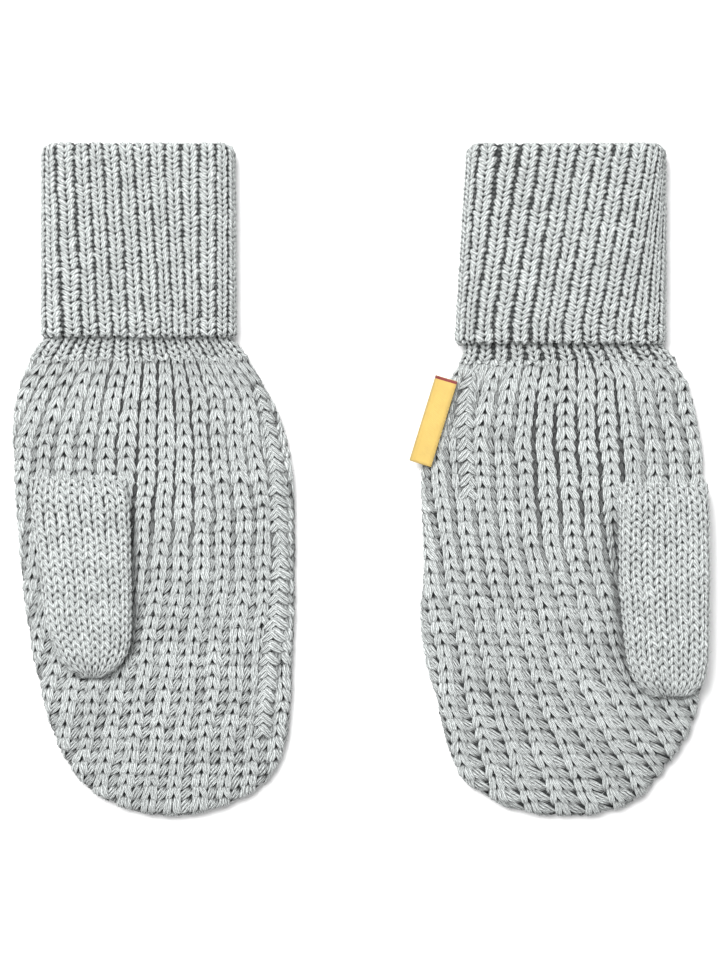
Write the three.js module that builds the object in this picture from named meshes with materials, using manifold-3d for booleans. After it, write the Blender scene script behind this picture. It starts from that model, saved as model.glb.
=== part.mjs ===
// A pair of baby mittens in chunky rib knit, laid flat with the thumbs on top and the cuffs turned up.
// Millimetres. X runs from the left mitten to the right one, Y from the finger tips to the cuffs, and
// Z up from the surface that they lie on. Every wall is one layer of knitted cloth.

import * as THREE from 'three';
import { mergeVertices } from 'three/addons/utils/BufferGeometryUtils.js';
import Module from 'manifold-3d';

const wasm = await Module();
wasm.setup();

// Clearances and walls.
const SEAM_GAP = 0.3; // between pieces that meet at a seam or lie on each other
const HAND_WALL = 2.4; // one layer of the hand under its ribs
const HAND_RIB = 1.0; // height of a hand rib over its gutters where ribs are RIB_FULL_PITCH apart
const CUFF_WALL = 2.2; // one layer of the cuff, ribs included
const CUFF_RIB = 0.8; // depth of a gutter between two cuff ribs
const THUMB_WALL = 1.6; // one layer of the thumb
const RIB_FULL_PITCH = 5.2;
const RIB_SHOULDER = 0.22; // where a rib reaches its height, as a share of its pitch

// The rim of a hand, where palm and back meet.
const RIM_LIFT = 1.2; // the back's underside rises this much towards the rim
const RIM_WALL = 1.0; // each layer's thickness at the rim
const RIM_ROUND = 3.2; // width of the palm's rounded edge
const UNDER_ROUND = 2.0; // width of the back's rounded edge
const RIM_STEPS = [0, 0.7, 2.0]; // columns of points that follow the outline, measured in from it
const CROWN = 1.2; // the palm's middle stands this much over its sides
const CROWN_WIDTH = 20; // and reaches it this far from the rim

// The turned-up cuff: four layers, the outer two folded over the inner two at the top.
const CUFF_HEIGHT = 4 * CUFF_WALL + 3 * SEAM_GAP;
const FOLD_STEPS = 4;
const UNDERSIDE_COLUMNS = 7;

// The thumb lies on the palm as a flat bag. Its mouth is sewn round a slot in the palm.
const THUMB_HEIGHT = 4.6;
const MOUTH_DEPTH = 4.0; // from the upper seam to the lower one, along Y
const SLOT_MARGIN = 0.8; // the mouth's wall covers this much of the palm round the slot
const THUMB_COLUMNS = 8; // columns of points on each face of the thumb

// Colours of the yarn and the label.
const YARN = { color: 0xc3c8c7, roughness: 0.95, metalness: 0 };
const WOVEN_TAPE = { color: 0xefd382, roughness: 0.7, metalness: 0 };

// Hand sections from the cuff to the finger tip. left and right are the outline. gutter is one groove
// between two ribs, and pitchLeft and pitchRight are the rib spacings on either side of it.
const LEFT_HAND = [
  { y: 29.4, left: -83.3, right: -27.2, gutter: -50.5, pitchLeft: 3.8, pitchRight: 3.2 },
  { y: 25.9, left: -85.0, right: -24.8, gutter: -50.5, pitchLeft: 4.1, pitchRight: 3.6 },
  { y: 20.9, left: -86.3, right: -22.0, gutter: -50.5, pitchLeft: 4.5, pitchRight: 4.1 },
  { y: 15.9, left: -87.0, right: -19.8, gutter: -50.5, pitchLeft: 4.8, pitchRight: 4.2 },
  { y: 9.0, left: -87.2, right: -17.8, gutter: -50.5, pitchLeft: 5.1, pitchRight: 4.3 },
  { y: 1.0, left: -87.1, right: -16.6, gutter: -50.8, pitchLeft: 5.2, pitchRight: 4.6 },
  { y: -8.0, left: -86.3, right: -16.1, gutter: -51.6, pitchLeft: 5.2, pitchRight: 5.0 },
  { y: -17.0, left: -85.6, right: -16.0, gutter: -52.3, pitchLeft: 5.2, pitchRight: 5.1 },
  { y: -26.0, left: -84.9, right: -16.0, gutter: -53.2, pitchLeft: 5.3, pitchRight: 5.3 },
  { y: -35.0, left: -83.7, right: -16.1, gutter: -54.8, pitchLeft: 5.5, pitchRight: 5.5 },
  { y: -44.0, left: -82.3, right: -16.5, gutter: -56.1, pitchLeft: 5.6, pitchRight: 5.6 },
  { y: -54.0, left: -80.0, right: -16.8, gutter: -57.8, pitchLeft: 5.9, pitchRight: 5.9 },
  { y: -64.1, left: -77.0, right: -17.8, gutter: -59.4, pitchLeft: 5.9, pitchRight: 5.9 },
  { y: -71.6, left: -73.3, right: -20.5, gutter: -60.8, pitchLeft: 6.1, pitchRight: 6.1 },
  { y: -76.6, left: -69.5, right: -24.5, gutter: -61.5, pitchLeft: 6.1, pitchRight: 6.1 },
  { y: -80.1, left: -64.6, right: -29.8, gutter: -62.0, pitchLeft: 6.2, pitchRight: 6.2 },
  { y: -82.9, left: -58.6, right: -36.6, gutter: -62.4, pitchLeft: 6.2, pitchRight: 6.2 },
  { y: -84.5, left: -50.5, right: -43.5, gutter: -62.6, pitchLeft: 6.2, pitchRight: 6.2 },
];
const RIGHT_HAND = [
  { y: 28.4, left: 24.3, right: 80.0, gutter: 54.0, pitchLeft: 4.3, pitchRight: 4.3 },
  { y: 25.4, left: 22.3, right: 81.8, gutter: 54.3, pitchLeft: 4.7, pitchRight: 4.7 },
  { y: 20.9, left: 19.8, right: 83.5, gutter: 54.1, pitchLeft: 4.9, pitchRight: 4.9 },
  { y: 15.9, left: 17.8, right: 84.7, gutter: 54.0, pitchLeft: 5.1, pitchRight: 5.1 },
  { y: 9.0, left: 16.0, right: 85.7, gutter: 54.2, pitchLeft: 5.4, pitchRight: 5.4 },
  { y: 1.0, left: 15.1, right: 86.3, gutter: 54.8, pitchLeft: 5.4, pitchRight: 5.4 },
  { y: -8.0, left: 15.2, right: 86.5, gutter: 55.2, pitchLeft: 5.3, pitchRight: 5.3 },
  { y: -17.0, left: 15.7, right: 86.5, gutter: 56.0, pitchLeft: 5.2, pitchRight: 5.2 },
  { y: -26.0, left: 15.4, right: 86.5, gutter: 57.9, pitchLeft: 5.3, pitchRight: 5.3 },
  { y: -35.0, left: 15.0, right: 86.5, gutter: 60.2, pitchLeft: 5.4, pitchRight: 5.4 },
  { y: -44.0, left: 16.0, right: 86.5, gutter: 62.5, pitchLeft: 5.5, pitchRight: 5.5 },
  { y: -54.0, left: 18.7, right: 85.5, gutter: 67.2, pitchLeft: 6.0, pitchRight: 6.0 },
  { y: -64.1, left: 20.8, right: 82.5, gutter: 72.7, pitchLeft: 6.4, pitchRight: 6.4 },
  { y: -71.6, left: 23.5, right: 77.3, gutter: 77.7, pitchLeft: 6.9, pitchRight: 6.9 },
  { y: -76.0, left: 26.3, right: 74.0, gutter: 80.4, pitchLeft: 7.1, pitchRight: 7.1 },
  { y: -79.6, left: 31.8, right: 70.6, gutter: 82.4, pitchLeft: 7.3, pitchRight: 7.3 },
  { y: -82.4, left: 37.0, right: 65.4, gutter: 84.0, pitchLeft: 7.4, pitchRight: 7.4 },
  { y: -84.5, left: 46.0, right: 57.5, gutter: 85.0, pitchLeft: 7.5, pitchRight: 7.5 },
];

// Cuff outlines from the fold at the top to the free edge, then the neck that shows under it.
const LEFT_CUFF = {
  fold: { y: 84.4, left: -79.9, right: -31.1 },
  freeEdge: { y: 36.4, left: -79.9, right: -30.8 },
  neck: [
    { y: 35.4, left: -79.2, right: -32.2 },
    { y: 32.4, left: -81.6, right: -29.6 },
    { y: 29.7, left: -83.2, right: -27.4 },
  ],
  ribs: 13,
};
const RIGHT_CUFF = {
  fold: { y: 84.4, left: 26.6, right: 76.7 },
  freeEdge: { y: 34.8, left: 23.6, right: 76.7 },
  neck: [
    { y: 33.8, left: 26.0, right: 75.6 },
    { y: 31.2, left: 25.8, right: 77.8 },
    { y: 28.7, left: 24.4, right: 79.9 },
  ],
  ribs: 12,
};

// Thumb sections from the mouth to the tip. height is a share of THUMB_HEIGHT.
const LEFT_THUMB = [
  { y: -1.2, left: -82.7, right: -58.2, height: 0.72 },
  { y: -6.0, left: -82.2, right: -57.4, height: 0.93 },
  { y: -15.0, left: -81.0, right: -57.0, height: 1.0 },
  { y: -26.0, left: -79.6, right: -56.8, height: 1.0 },
  { y: -36.0, left: -78.2, right: -56.8, height: 1.0 },
  { y: -42.0, left: -76.2, right: -57.4, height: 0.94 },
  { y: -46.0, left: -73.6, right: -59.8, height: 0.8 },
  { y: -48.0, left: -71.0, right: -62.4, height: 0.56 },
];
const RIGHT_THUMB = [
  { y: -2.7, left: 64.5, right: 86.9, height: 0.72 },
  { y: -8.0, left: 64.4, right: 87.2, height: 0.93 },
  { y: -17.0, left: 64.3, right: 87.3, height: 1.0 },
  { y: -28.0, left: 64.6, right: 87.3, height: 1.0 },
  { y: -39.0, left: 65.6, right: 87.2, height: 1.0 },
  { y: -46.0, left: 66.7, right: 86.8, height: 0.94 },
  { y: -50.6, left: 68.8, right: 85.6, height: 0.8 },
  { y: -53.0, left: 72.0, right: 83.2, height: 0.56 },
];

// The folded label on the right mitten's edge.
const LABEL = { cornerX: 18.9, cornerY: 26.3, length: 22.4, width: 5.7, turn: 0.3, tape: 0.45, droop: 1.6 };

const smooth = (t) => {
  const s = Math.min(Math.max(t, 0), 1);
  return s * s * (3 - 2 * s);
};
const roundOff = (inset, width) => Math.sqrt(1 - (1 - Math.min(Math.max(inset, 0), width) / width) ** 2);
const clamp = (value, low, high) => Math.min(Math.max(value, low), high);

// The row of a table at y, each column a smooth curve through the rows. y falls from row to row.
function rowAt(table, y) {
  const last = table.length - 1;
  let i = 0;
  while (i < last - 1 && y < table[i + 1].y) i++;
  const rows = [table[Math.max(i - 1, 0)], table[i], table[i + 1], table[Math.min(i + 2, last)]];
  const span = rows[2].y - rows[1].y;
  const t = clamp((y - rows[1].y) / span, 0, 1);
  const row = {};
  for (const column of Object.keys(rows[0])) {
    const [a, b, c, d] = rows.map((r) => r[column]);
    const slopeB = ((c - a) / (rows[2].y - rows[0].y || 1)) * span;
    const slopeC = ((d - b) / (rows[3].y - rows[1].y || 1)) * span;
    row[column] =
      b * (2 * t ** 3 - 3 * t ** 2 + 1) +
      slopeB * (t ** 3 - 2 * t ** 2 + t) +
      c * (3 * t ** 2 - 2 * t ** 3) +
      slopeC * (t ** 3 - t ** 2);
  }
  row.y = y;
  return row;
}

// A closed wall between two grids of points. Points that fall together close up, so a row can shrink
// to a tip and a column can run out at an edge. With loop, the last column joins the first.
function wall(outer, inner, loop = false) {
  const points = [];
  const known = new Map();
  const triangles = [];
  const indexOf = (p) => {
    const key = [p.x, p.y, p.z].map((value) => Math.round(value * 1000)).join();
    if (!known.has(key)) {
      known.set(key, points.length / 3);
      points.push(p.x, p.y, p.z);
    }
    return known.get(key);
  };
  const triangle = (a, b, c) => {
    if (a !== b && b !== c && c !== a) triangles.push(a, b, c);
  };
  const quad = (p, q, r, s) => {
    const [a, b, c, d] = [p, q, r, s].map(indexOf);
    triangle(a, b, c);
    triangle(a, c, d);
  };
  const rows = outer.length;
  const columns = outer[0].length;
  for (let i = 0; i < rows - 1; i++) {
    for (let k = 0; k < columns - (loop ? 0 : 1); k++) {
      const next = (k + 1) % columns;
      quad(outer[i][k], outer[i + 1][k], outer[i + 1][next], outer[i][next]);
      quad(inner[i][k], inner[i][next], inner[i + 1][next], inner[i + 1][k]);
    }
    if (!loop) {
      quad(outer[i][0], inner[i][0], inner[i + 1][0], outer[i + 1][0]);
      const k = columns - 1;
      quad(outer[i][k], outer[i + 1][k], inner[i + 1][k], inner[i][k]);
    }
  }
  for (let k = 0; k < columns - (loop ? 0 : 1); k++) {
    const next = (k + 1) % columns;
    const end = rows - 1;
    quad(outer[0][k], outer[0][next], inner[0][next], inner[0][k]);
    quad(outer[end][k], inner[end][k], inner[end][next], outer[end][next]);
  }
  const geometry = new THREE.BufferGeometry();
  geometry.setAttribute('position', new THREE.Float32BufferAttribute(points, 3));
  geometry.setIndex(triangles);
  geometry.computeVertexNormals();
  return geometry;
}

// A closed geometry as a manifold-3d solid, and back.
function toSolid(source) {
  const geometry = source.clone();
  geometry.deleteAttribute('normal');
  geometry.deleteAttribute('uv');
  const merged = mergeVertices(geometry, 1e-4);
  return new wasm.Manifold(
    new wasm.Mesh({
      numProp: 3,
      vertProperties: merged.attributes.position.array,
      triVerts: new Uint32Array(merged.index.array),
    }),
  );
}
function toGeometry(solid) {
  const mesh = solid.getMesh();
  const geometry = new THREE.BufferGeometry();
  geometry.setAttribute('position', new THREE.Float32BufferAttribute(mesh.vertProperties, 3));
  geometry.setIndex(Array.from(mesh.triVerts));
  geometry.computeVertexNormals();
  return geometry;
}

// What a hand's table says about any point of it: how far in from the outline, and the heights of both
// faces of both layers.
function handShape(table) {
  const top = table[0].y;
  const tip = table[table.length - 1].y;
  const rim = [];
  for (const side of ['left', 'right']) {
    let from = new THREE.Vector2(rowAt(table, top)[side], top + 30);
    for (let y = top; ; y = Math.max(y - 1.5, tip)) {
      const to = new THREE.Vector2(rowAt(table, y)[side], y);
      rim.push([from, to]);
      from = to;
      if (y === tip) break;
    }
  }
  const end = rowAt(table, tip);
  rim.push([new THREE.Vector2(end.left, tip), new THREE.Vector2(end.right, tip)]);

  const inset = (x, y) => {
    let best = Infinity;
    for (const [a, b] of rim) {
      const [dx, dy] = [b.x - a.x, b.y - a.y];
      const along = clamp(((x - a.x) * dx + (y - a.y) * dy) / (dx * dx + dy * dy), 0, 1);
      best = Math.min(best, Math.hypot(x - a.x - along * dx, y - a.y - along * dy));
    }
    const row = rowAt(table, clamp(y, tip, top));
    return x < row.left || x > row.right || y < tip ? -best : best;
  };
  const crown = (x, y) => CROWN * smooth(inset(x, y) / CROWN_WIDTH) * smooth((top - y) / 18);
  const backUnder = (x, y) => RIM_LIFT * (1 - roundOff(inset(x, y), UNDER_ROUND));
  const backTop = (x, y) =>
    RIM_LIFT + RIM_WALL + (HAND_WALL - RIM_LIFT - RIM_WALL) * roundOff(inset(x, y), RIM_ROUND);
  const palmUnder = (x, y) => backTop(x, y) + SEAM_GAP + crown(x, y);
  const palmTop = (x, y, relief) => {
    const rise = roundOff(inset(x, y), RIM_ROUND);
    return palmUnder(x, y) + RIM_WALL + (HAND_WALL - RIM_WALL + relief) * rise;
  };
  // The level that touches the rib tops, without the rounded rim.
  const rest = (x, y) => HAND_WALL * 2 + SEAM_GAP + HAND_RIB + crown(x, y);
  return { table, top, tip, inset, backUnder, backTop, palmUnder, palmTop, rest };
}

// The rib columns of a hand: where each lies as a number of pitches from the table's gutter.
function ribColumns(from, to) {
  const columns = [];
  for (let rib = from; rib < to; rib++) {
    columns.push({ at: rib, raised: 0 });
    columns.push({ at: rib + RIB_SHOULDER, raised: 1 });
    columns.push({ at: rib + 1 - RIB_SHOULDER, raised: 1 });
  }
  columns.push({ at: to, raised: 0 });
  return columns;
}

// The palm: rib columns follow the grain and run out at the rim, and rim columns follow the outline.
function palmGeometry(hand, firstRib, lastRib) {
  const outer = [];
  const inner = [];
  const ribs = ribColumns(firstRib, lastRib);
  for (const row of hand.table) {
    const { y, left, right, gutter, pitchLeft, pitchRight } = row;
    const shrink = Math.min(1, (right - left) / (RIM_STEPS.at(-1) * 5));
    const steps = RIM_STEPS.map((step) => step * shrink);
    const low = left + steps.at(-1);
    const high = right - steps.at(-1);
    const half = HAND_RIB / 2;
    const columns = steps.map((step) => ({ x: left + step, relief: half }));
    for (const rib of ribs) {
      const pitch = rib.at < 0 ? pitchLeft : pitchRight;
      const x = gutter + rib.at * pitch;
      const relief = HAND_RIB * Math.min(1, pitch / RIB_FULL_PITCH) * rib.raised;
      const inside = x > low + 0.25 && x < high - 0.25;
      columns.push(inside ? { x, relief } : { x: x < (low + high) / 2 ? low : high, relief: half });
    }
    columns.push(...steps.map((step) => ({ x: right - step, relief: half })).reverse());
    outer.push(columns.map(({ x, relief }) => new THREE.Vector3(x, y, hand.palmTop(x, y, relief))));
    inner.push(columns.map(({ x }) => new THREE.Vector3(x, y, hand.palmUnder(x, y))));
  }
  return wall(outer, inner);
}

// The back: plain, with a flat underside.
function backGeometry(hand, middleColumns = 7) {
  const upper = [];
  const under = [];
  for (const { y, left, right } of hand.table) {
    const shrink = Math.min(1, (right - left) / (RIM_STEPS.at(-1) * 5));
    const steps = RIM_STEPS.map((step) => step * shrink);
    const low = left + steps.at(-1);
    const high = right - steps.at(-1);
    const xs = steps.map((step) => left + step);
    for (let k = 1; k <= middleColumns; k++) xs.push(low + ((high - low) * k) / (middleColumns + 1));
    xs.push(...steps.map((step) => right - step).reverse());
    upper.push(xs.map((x) => new THREE.Vector3(x, y, hand.backTop(x, y))));
    under.push(xs.map((x) => new THREE.Vector3(x, y, hand.backUnder(x, y))));
  }
  return wall(upper, under);
}

// Height over the middle of a flattened loop of cloth at x from its centre.
const flatLoop = (x, halfWidth, halfHeight) =>
  halfHeight * Math.sqrt(1 - clamp((Math.abs(x) - (halfWidth - halfHeight)) / halfHeight, 0, 1) ** 2);

// The places round a cuff: from its left edge over the ribs to the right edge, and back underneath.
// share runs 0 to 1 across the width, and raised is 0 in a gutter.
function cuffPlaces(ribs) {
  const places = [];
  for (let rib = 0; rib < ribs; rib++) {
    places.push({ share: rib / ribs, raised: rib ? 0 : 1, over: 1 });
    places.push({ share: (rib + RIB_SHOULDER) / ribs, raised: 1, over: 1 });
    places.push({ share: (rib + 1 - RIB_SHOULDER) / ribs, raised: 1, over: 1 });
  }
  places.push({ share: 1, raised: 1, over: 1 });
  const corner = [0.017, 0.06, 0.105];
  const under = corner.map((share) => 1 - share);
  for (let k = 1; k < UNDERSIDE_COLUMNS; k++) under.push(0.895 - (0.79 * k) / UNDERSIDE_COLUMNS);
  under.push(...corner.slice().reverse());
  places.push(...under.map((share) => ({ share, raised: 1, over: -1 })));
  return places;
}

// The cuff as one tube: up the outer layer, over the fold, down the inner layer and on to the neck.
// Each station gives the facing side of the cloth and the side that the turn hides.
function cuffGeometry(cuff) {
  const places = cuffPlaces(cuff.ribs);
  const { fold, freeEdge, neck } = cuff;
  const middle = CUFF_HEIGHT / 2;
  const innermost = middle - SEAM_GAP / 2;
  const foldCentre = CUFF_WALL + SEAM_GAP / 2;
  const edge = (y) => rowAt([fold, freeEdge], y);
  const stations = [];
  const station = (y, faceIn, faceRib, hiddenIn, hiddenRib, hiddenY = y) =>
    stations.push({
      facing: { ...edge(y), y, in: faceIn, z: middle, half: middle, rib: faceRib },
      hidden: { ...edge(hiddenY), y: hiddenY, in: hiddenIn, z: middle, half: middle, rib: hiddenRib },
    });
  const foldStart = fold.y - foldCentre;
  station(freeEdge.y, 0.5, CUFF_RIB, CUFF_WALL - 0.3, 0);
  station(freeEdge.y + 1.2, 0, CUFF_RIB, CUFF_WALL, 0);
  station((freeEdge.y + foldStart) / 2, 0, CUFF_RIB, CUFF_WALL, 0);
  for (let step = 0; step <= FOLD_STEPS; step++) {
    const turn = (Math.PI * step) / FOLD_STEPS;
    const [across, up] = [Math.cos(turn), Math.sin(turn)];
    station(
      foldStart + foldCentre * up,
      foldCentre * (1 - across),
      CUFF_RIB * Math.max(across, 0.35),
      foldCentre - (SEAM_GAP / 2) * across,
      0,
      foldStart + (SEAM_GAP / 2) * up,
    );
  }
  station(freeEdge.y + 1, innermost, 0, CUFF_WALL + SEAM_GAP, 0);
  const palmMiddle = HAND_WALL + SEAM_GAP / 2;
  const handHalf = (HAND_WALL * 2 + SEAM_GAP + HAND_RIB * 0.7) / 2;
  neck.forEach((row, i) => {
    const t = (i + 1) / neck.length;
    const z = THREE.MathUtils.lerp(middle, palmMiddle, t);
    const zOut = THREE.MathUtils.lerp(middle, handHalf, t);
    const half = THREE.MathUtils.lerp(middle - CUFF_WALL - SEAM_GAP, handHalf, t);
    stations.push({
      facing: { ...row, in: 0, z, half: SEAM_GAP / 2, rib: 0, inset: HAND_WALL },
      hidden: { ...row, in: 0, z: zOut, half, rib: CUFF_RIB * 0.8 * smooth(2 * t) },
    });
  });
  const point = (side, place) => {
    const inset = side.in + (side.inset ?? 0);
    const halfWidth = (side.right - side.left) / 2 - inset;
    const halfHeight = side.half - side.in;
    const x = (place.share * 2 - 1) * halfWidth;
    const depth = place.over > 0 ? side.rib * (1 - place.raised) : 0;
    const z = place.over * Math.max(flatLoop(x, halfWidth, halfHeight) - depth, 0);
    return new THREE.Vector3((side.left + side.right) / 2 + x, side.y, side.z + z);
  };
  const facing = stations.map((s) => places.map((place) => point(s.facing, place)));
  const hidden = stations.map((s) => places.map((place) => point(s.hidden, place)));
  return wall(hidden, facing, true);
}

// The places round a thumb, as shares of its width, over its upper face and back under it.
function thumbPlaces() {
  const places = [];
  for (let k = 0; k <= THUMB_COLUMNS; k++)
    places.push({ share: (1 - Math.cos((Math.PI * k) / THUMB_COLUMNS)) / 2, over: 1 });
  for (let k = THUMB_COLUMNS - 1; k > 0; k--)
    places.push({ share: (1 - Math.cos((Math.PI * k) / THUMB_COLUMNS)) / 2, over: -1 });
  return places;
}

// The thumb: a flat bag on the palm, from the mouth that lies round the slot to the closed tip.
function thumbGeometry(hand, table) {
  const places = thumbPlaces();
  const seam = table[0];
  const loop = (row, layer) => {
    const inset = layer * THUMB_WALL;
    const halfWidth = (row.right - row.left) / 2 - inset;
    const middle = (row.height * THUMB_HEIGHT) / 2;
    const halfHeight = Math.max(middle - inset, 0.15);
    return places.map(({ share, over }) => {
      const x = (row.left + row.right) / 2 + (share * 2 - 1) * halfWidth;
      const z = middle + over * flatLoop(x - (row.left + row.right) / 2, halfWidth, halfHeight);
      return new THREE.Vector3(x, row.y, hand.rest(x, row.y) + SEAM_GAP + z);
    });
  };
  // The mouth lies on the palm: the upper face starts at the seam, the lower face MOUTH_DEPTH below.
  const mouth = (layer) => {
    const inset = layer * THUMB_WALL;
    const halfWidth = (seam.right - seam.left) / 2 - inset;
    return places.map(({ share, over }) => {
      const side = flatLoop((share * 2 - 1) * halfWidth, halfWidth, 2) / 2;
      const x = (seam.left + seam.right) / 2 + (share * 2 - 1) * halfWidth;
      const y = seam.y - MOUTH_DEPTH / 2 + over * side * (MOUTH_DEPTH / 2 - inset);
      return new THREE.Vector3(x, y, hand.rest(x, y) + SEAM_GAP);
    });
  };
  const rise = { ...rowAt(table, seam.y - MOUTH_DEPTH - 1.2) };
  const sections = [rise, ...table.slice(1).filter((row) => row.y < rise.y - 1.5)];
  const last = sections.at(-1);
  const tip = (layer) => {
    const x = (last.left + last.right) / 2;
    const y = last.y - 0.6 + layer * THUMB_WALL;
    const z = hand.rest(x, y) + SEAM_GAP + (last.height * THUMB_HEIGHT) / 2;
    return places.map(() => new THREE.Vector3(x, y, z));
  };
  const insideSections = sections.map((row, i) =>
    i === sections.length - 1 ? { ...rowAt(table, row.y + THUMB_WALL), y: row.y + THUMB_WALL * 0.8 } : row,
  );
  const outer = [mouth(0), ...sections.map((row) => loop(row, 0)), tip(0)];
  const inner = [mouth(1), ...insideSections.map((row) => loop(row, 1)), tip(1)];
  return wall(outer, inner, true);
}

// The slot that the thumb's mouth opens into, cut through the palm.
function slotGeometry(table) {
  const { left, right, y } = table[0];
  const width = right - left - 2 * SLOT_MARGIN;
  const height = MOUTH_DEPTH - 2 * SLOT_MARGIN;
  const radius = height / 2;
  const shape = new THREE.Shape();
  shape.absarc(width / 2 - radius, 0, radius, -Math.PI / 2, Math.PI / 2);
  shape.absarc(radius - width / 2, 0, radius, Math.PI / 2, Math.PI * 1.5);
  const slot = new THREE.ExtrudeGeometry(shape, { depth: 20, bevelEnabled: false, curveSegments: 4 });
  slot.translate((left + right) / 2, y - MOUTH_DEPTH / 2, -5);
  return slot;
}

// The label: a woven tape folded along its outer edge, following the palm's rounded rim.
function labelGeometry(hand) {
  const { cornerX, cornerY, length, width, turn, tape, droop } = LABEL;
  const fold = SEAM_GAP / 2;
  const path = [
    { across: width, face: 0, back: tape },
    { across: width * 0.5, face: 0, back: tape },
    { across: 0.5, face: 0, back: tape },
    { across: 0, face: tape + fold - 0.001, back: tape + fold, backAcross: 0.45 },
    { across: 0.5, face: tape * 2 + fold * 2, back: tape + fold * 2 },
    { across: width * 0.5, face: tape * 2 + fold * 2, back: tape + fold * 2 },
    { across: width, face: tape * 2 + fold * 2, back: tape + fold * 2 },
  ];
  const lie = (x, y) => hand.rest(x, y) + SEAM_GAP - droop * smooth((RIM_ROUND - hand.inset(x, y)) / 5);
  const rows = [0, 0.25, 0.5, 0.75, 1];
  const side = (pick) =>
    rows.map((share) =>
      path.map((station) => {
        const { across, height } = pick(station);
        const [along, out] = [share * length, across];
        const x = cornerX - along * Math.sin(turn) + out * Math.cos(turn);
        const y = cornerY - along * Math.cos(turn) - out * Math.sin(turn);
        return new THREE.Vector3(x, y, lie(x, y) + height);
      }),
    );
  const face = side((s) => ({ across: s.across, height: s.face }));
  const back = side((s) => ({ across: s.backAcross ?? s.across, height: s.back }));
  return wall(face, back);
}

const mittens = new THREE.Group();
mittens.name = 'baby_mittens';

function addPiece(name, geometry, look) {
  const mesh = new THREE.Mesh(geometry, new THREE.MeshStandardMaterial(look));
  mesh.name = name;
  mittens.add(mesh);
}

function addMitten(side, handTable, firstRib, lastRib, cuff, thumbTable) {
  const hand = handShape(handTable);
  const palm = toSolid(palmGeometry(hand, firstRib, lastRib)).subtract(toSolid(slotGeometry(thumbTable)));
  addPiece(`${side}_hand_palm`, toGeometry(palm), YARN);
  addPiece(`${side}_hand_back`, backGeometry(hand), YARN);
  addPiece(`${side}_cuff`, cuffGeometry(cuff), YARN);
  addPiece(`${side}_thumb`, thumbGeometry(hand, thumbTable), YARN);
  return hand;
}

addMitten('left', LEFT_HAND, -8, 8, LEFT_CUFF, LEFT_THUMB);
const rightHand = addMitten('right', RIGHT_HAND, -9, 7, RIGHT_CUFF, RIGHT_THUMB);
addPiece('right_label', labelGeometry(rightHand), WOVEN_TAPE);

export default mittens;
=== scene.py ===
# A pair of baby mittens in chunky rib knit, laid flat, thumbs on top and cuffs turned up.
# Sizes in the tables are millimetres, as in the part's source; meshes are metres.
import math

import bmesh
import bpy
import numpy as np
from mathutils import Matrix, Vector


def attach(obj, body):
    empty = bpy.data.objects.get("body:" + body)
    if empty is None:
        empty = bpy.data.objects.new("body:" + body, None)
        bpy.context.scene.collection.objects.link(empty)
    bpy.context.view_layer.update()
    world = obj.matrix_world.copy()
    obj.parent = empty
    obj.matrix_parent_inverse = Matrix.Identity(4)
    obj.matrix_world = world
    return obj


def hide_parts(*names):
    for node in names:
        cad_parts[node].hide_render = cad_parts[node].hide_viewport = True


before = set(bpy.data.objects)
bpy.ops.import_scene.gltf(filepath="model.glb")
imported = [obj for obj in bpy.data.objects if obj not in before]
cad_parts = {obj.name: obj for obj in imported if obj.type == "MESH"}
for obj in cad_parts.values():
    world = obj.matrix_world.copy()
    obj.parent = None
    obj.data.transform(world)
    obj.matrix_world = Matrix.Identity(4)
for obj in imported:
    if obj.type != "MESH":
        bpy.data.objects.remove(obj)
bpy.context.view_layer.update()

MM = 0.001
LEFT, RIGHT = "left", "right"


def table(columns, *rows):
    """Rows of numbers under named columns."""
    return {name: np.array(values, float) for name, values in zip(columns.split(), zip(*rows))}


# ---------------------------------------------------------------- sizes shared with the solids
SEAM_GAP = 0.3
HAND_WALL = 2.4
HAND_RIB = 1.0
CUFF_WALL = 2.2
THUMB_HEIGHT = 4.6
THUMB_WALL = 1.6
MOUTH_DEPTH = 4.0
CROWN = 1.2
CROWN_WIDTH = 20
CUFF_HEIGHT = 4 * CUFF_WALL + 3 * SEAM_GAP
RIM_ROUND = 3.2

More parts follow.
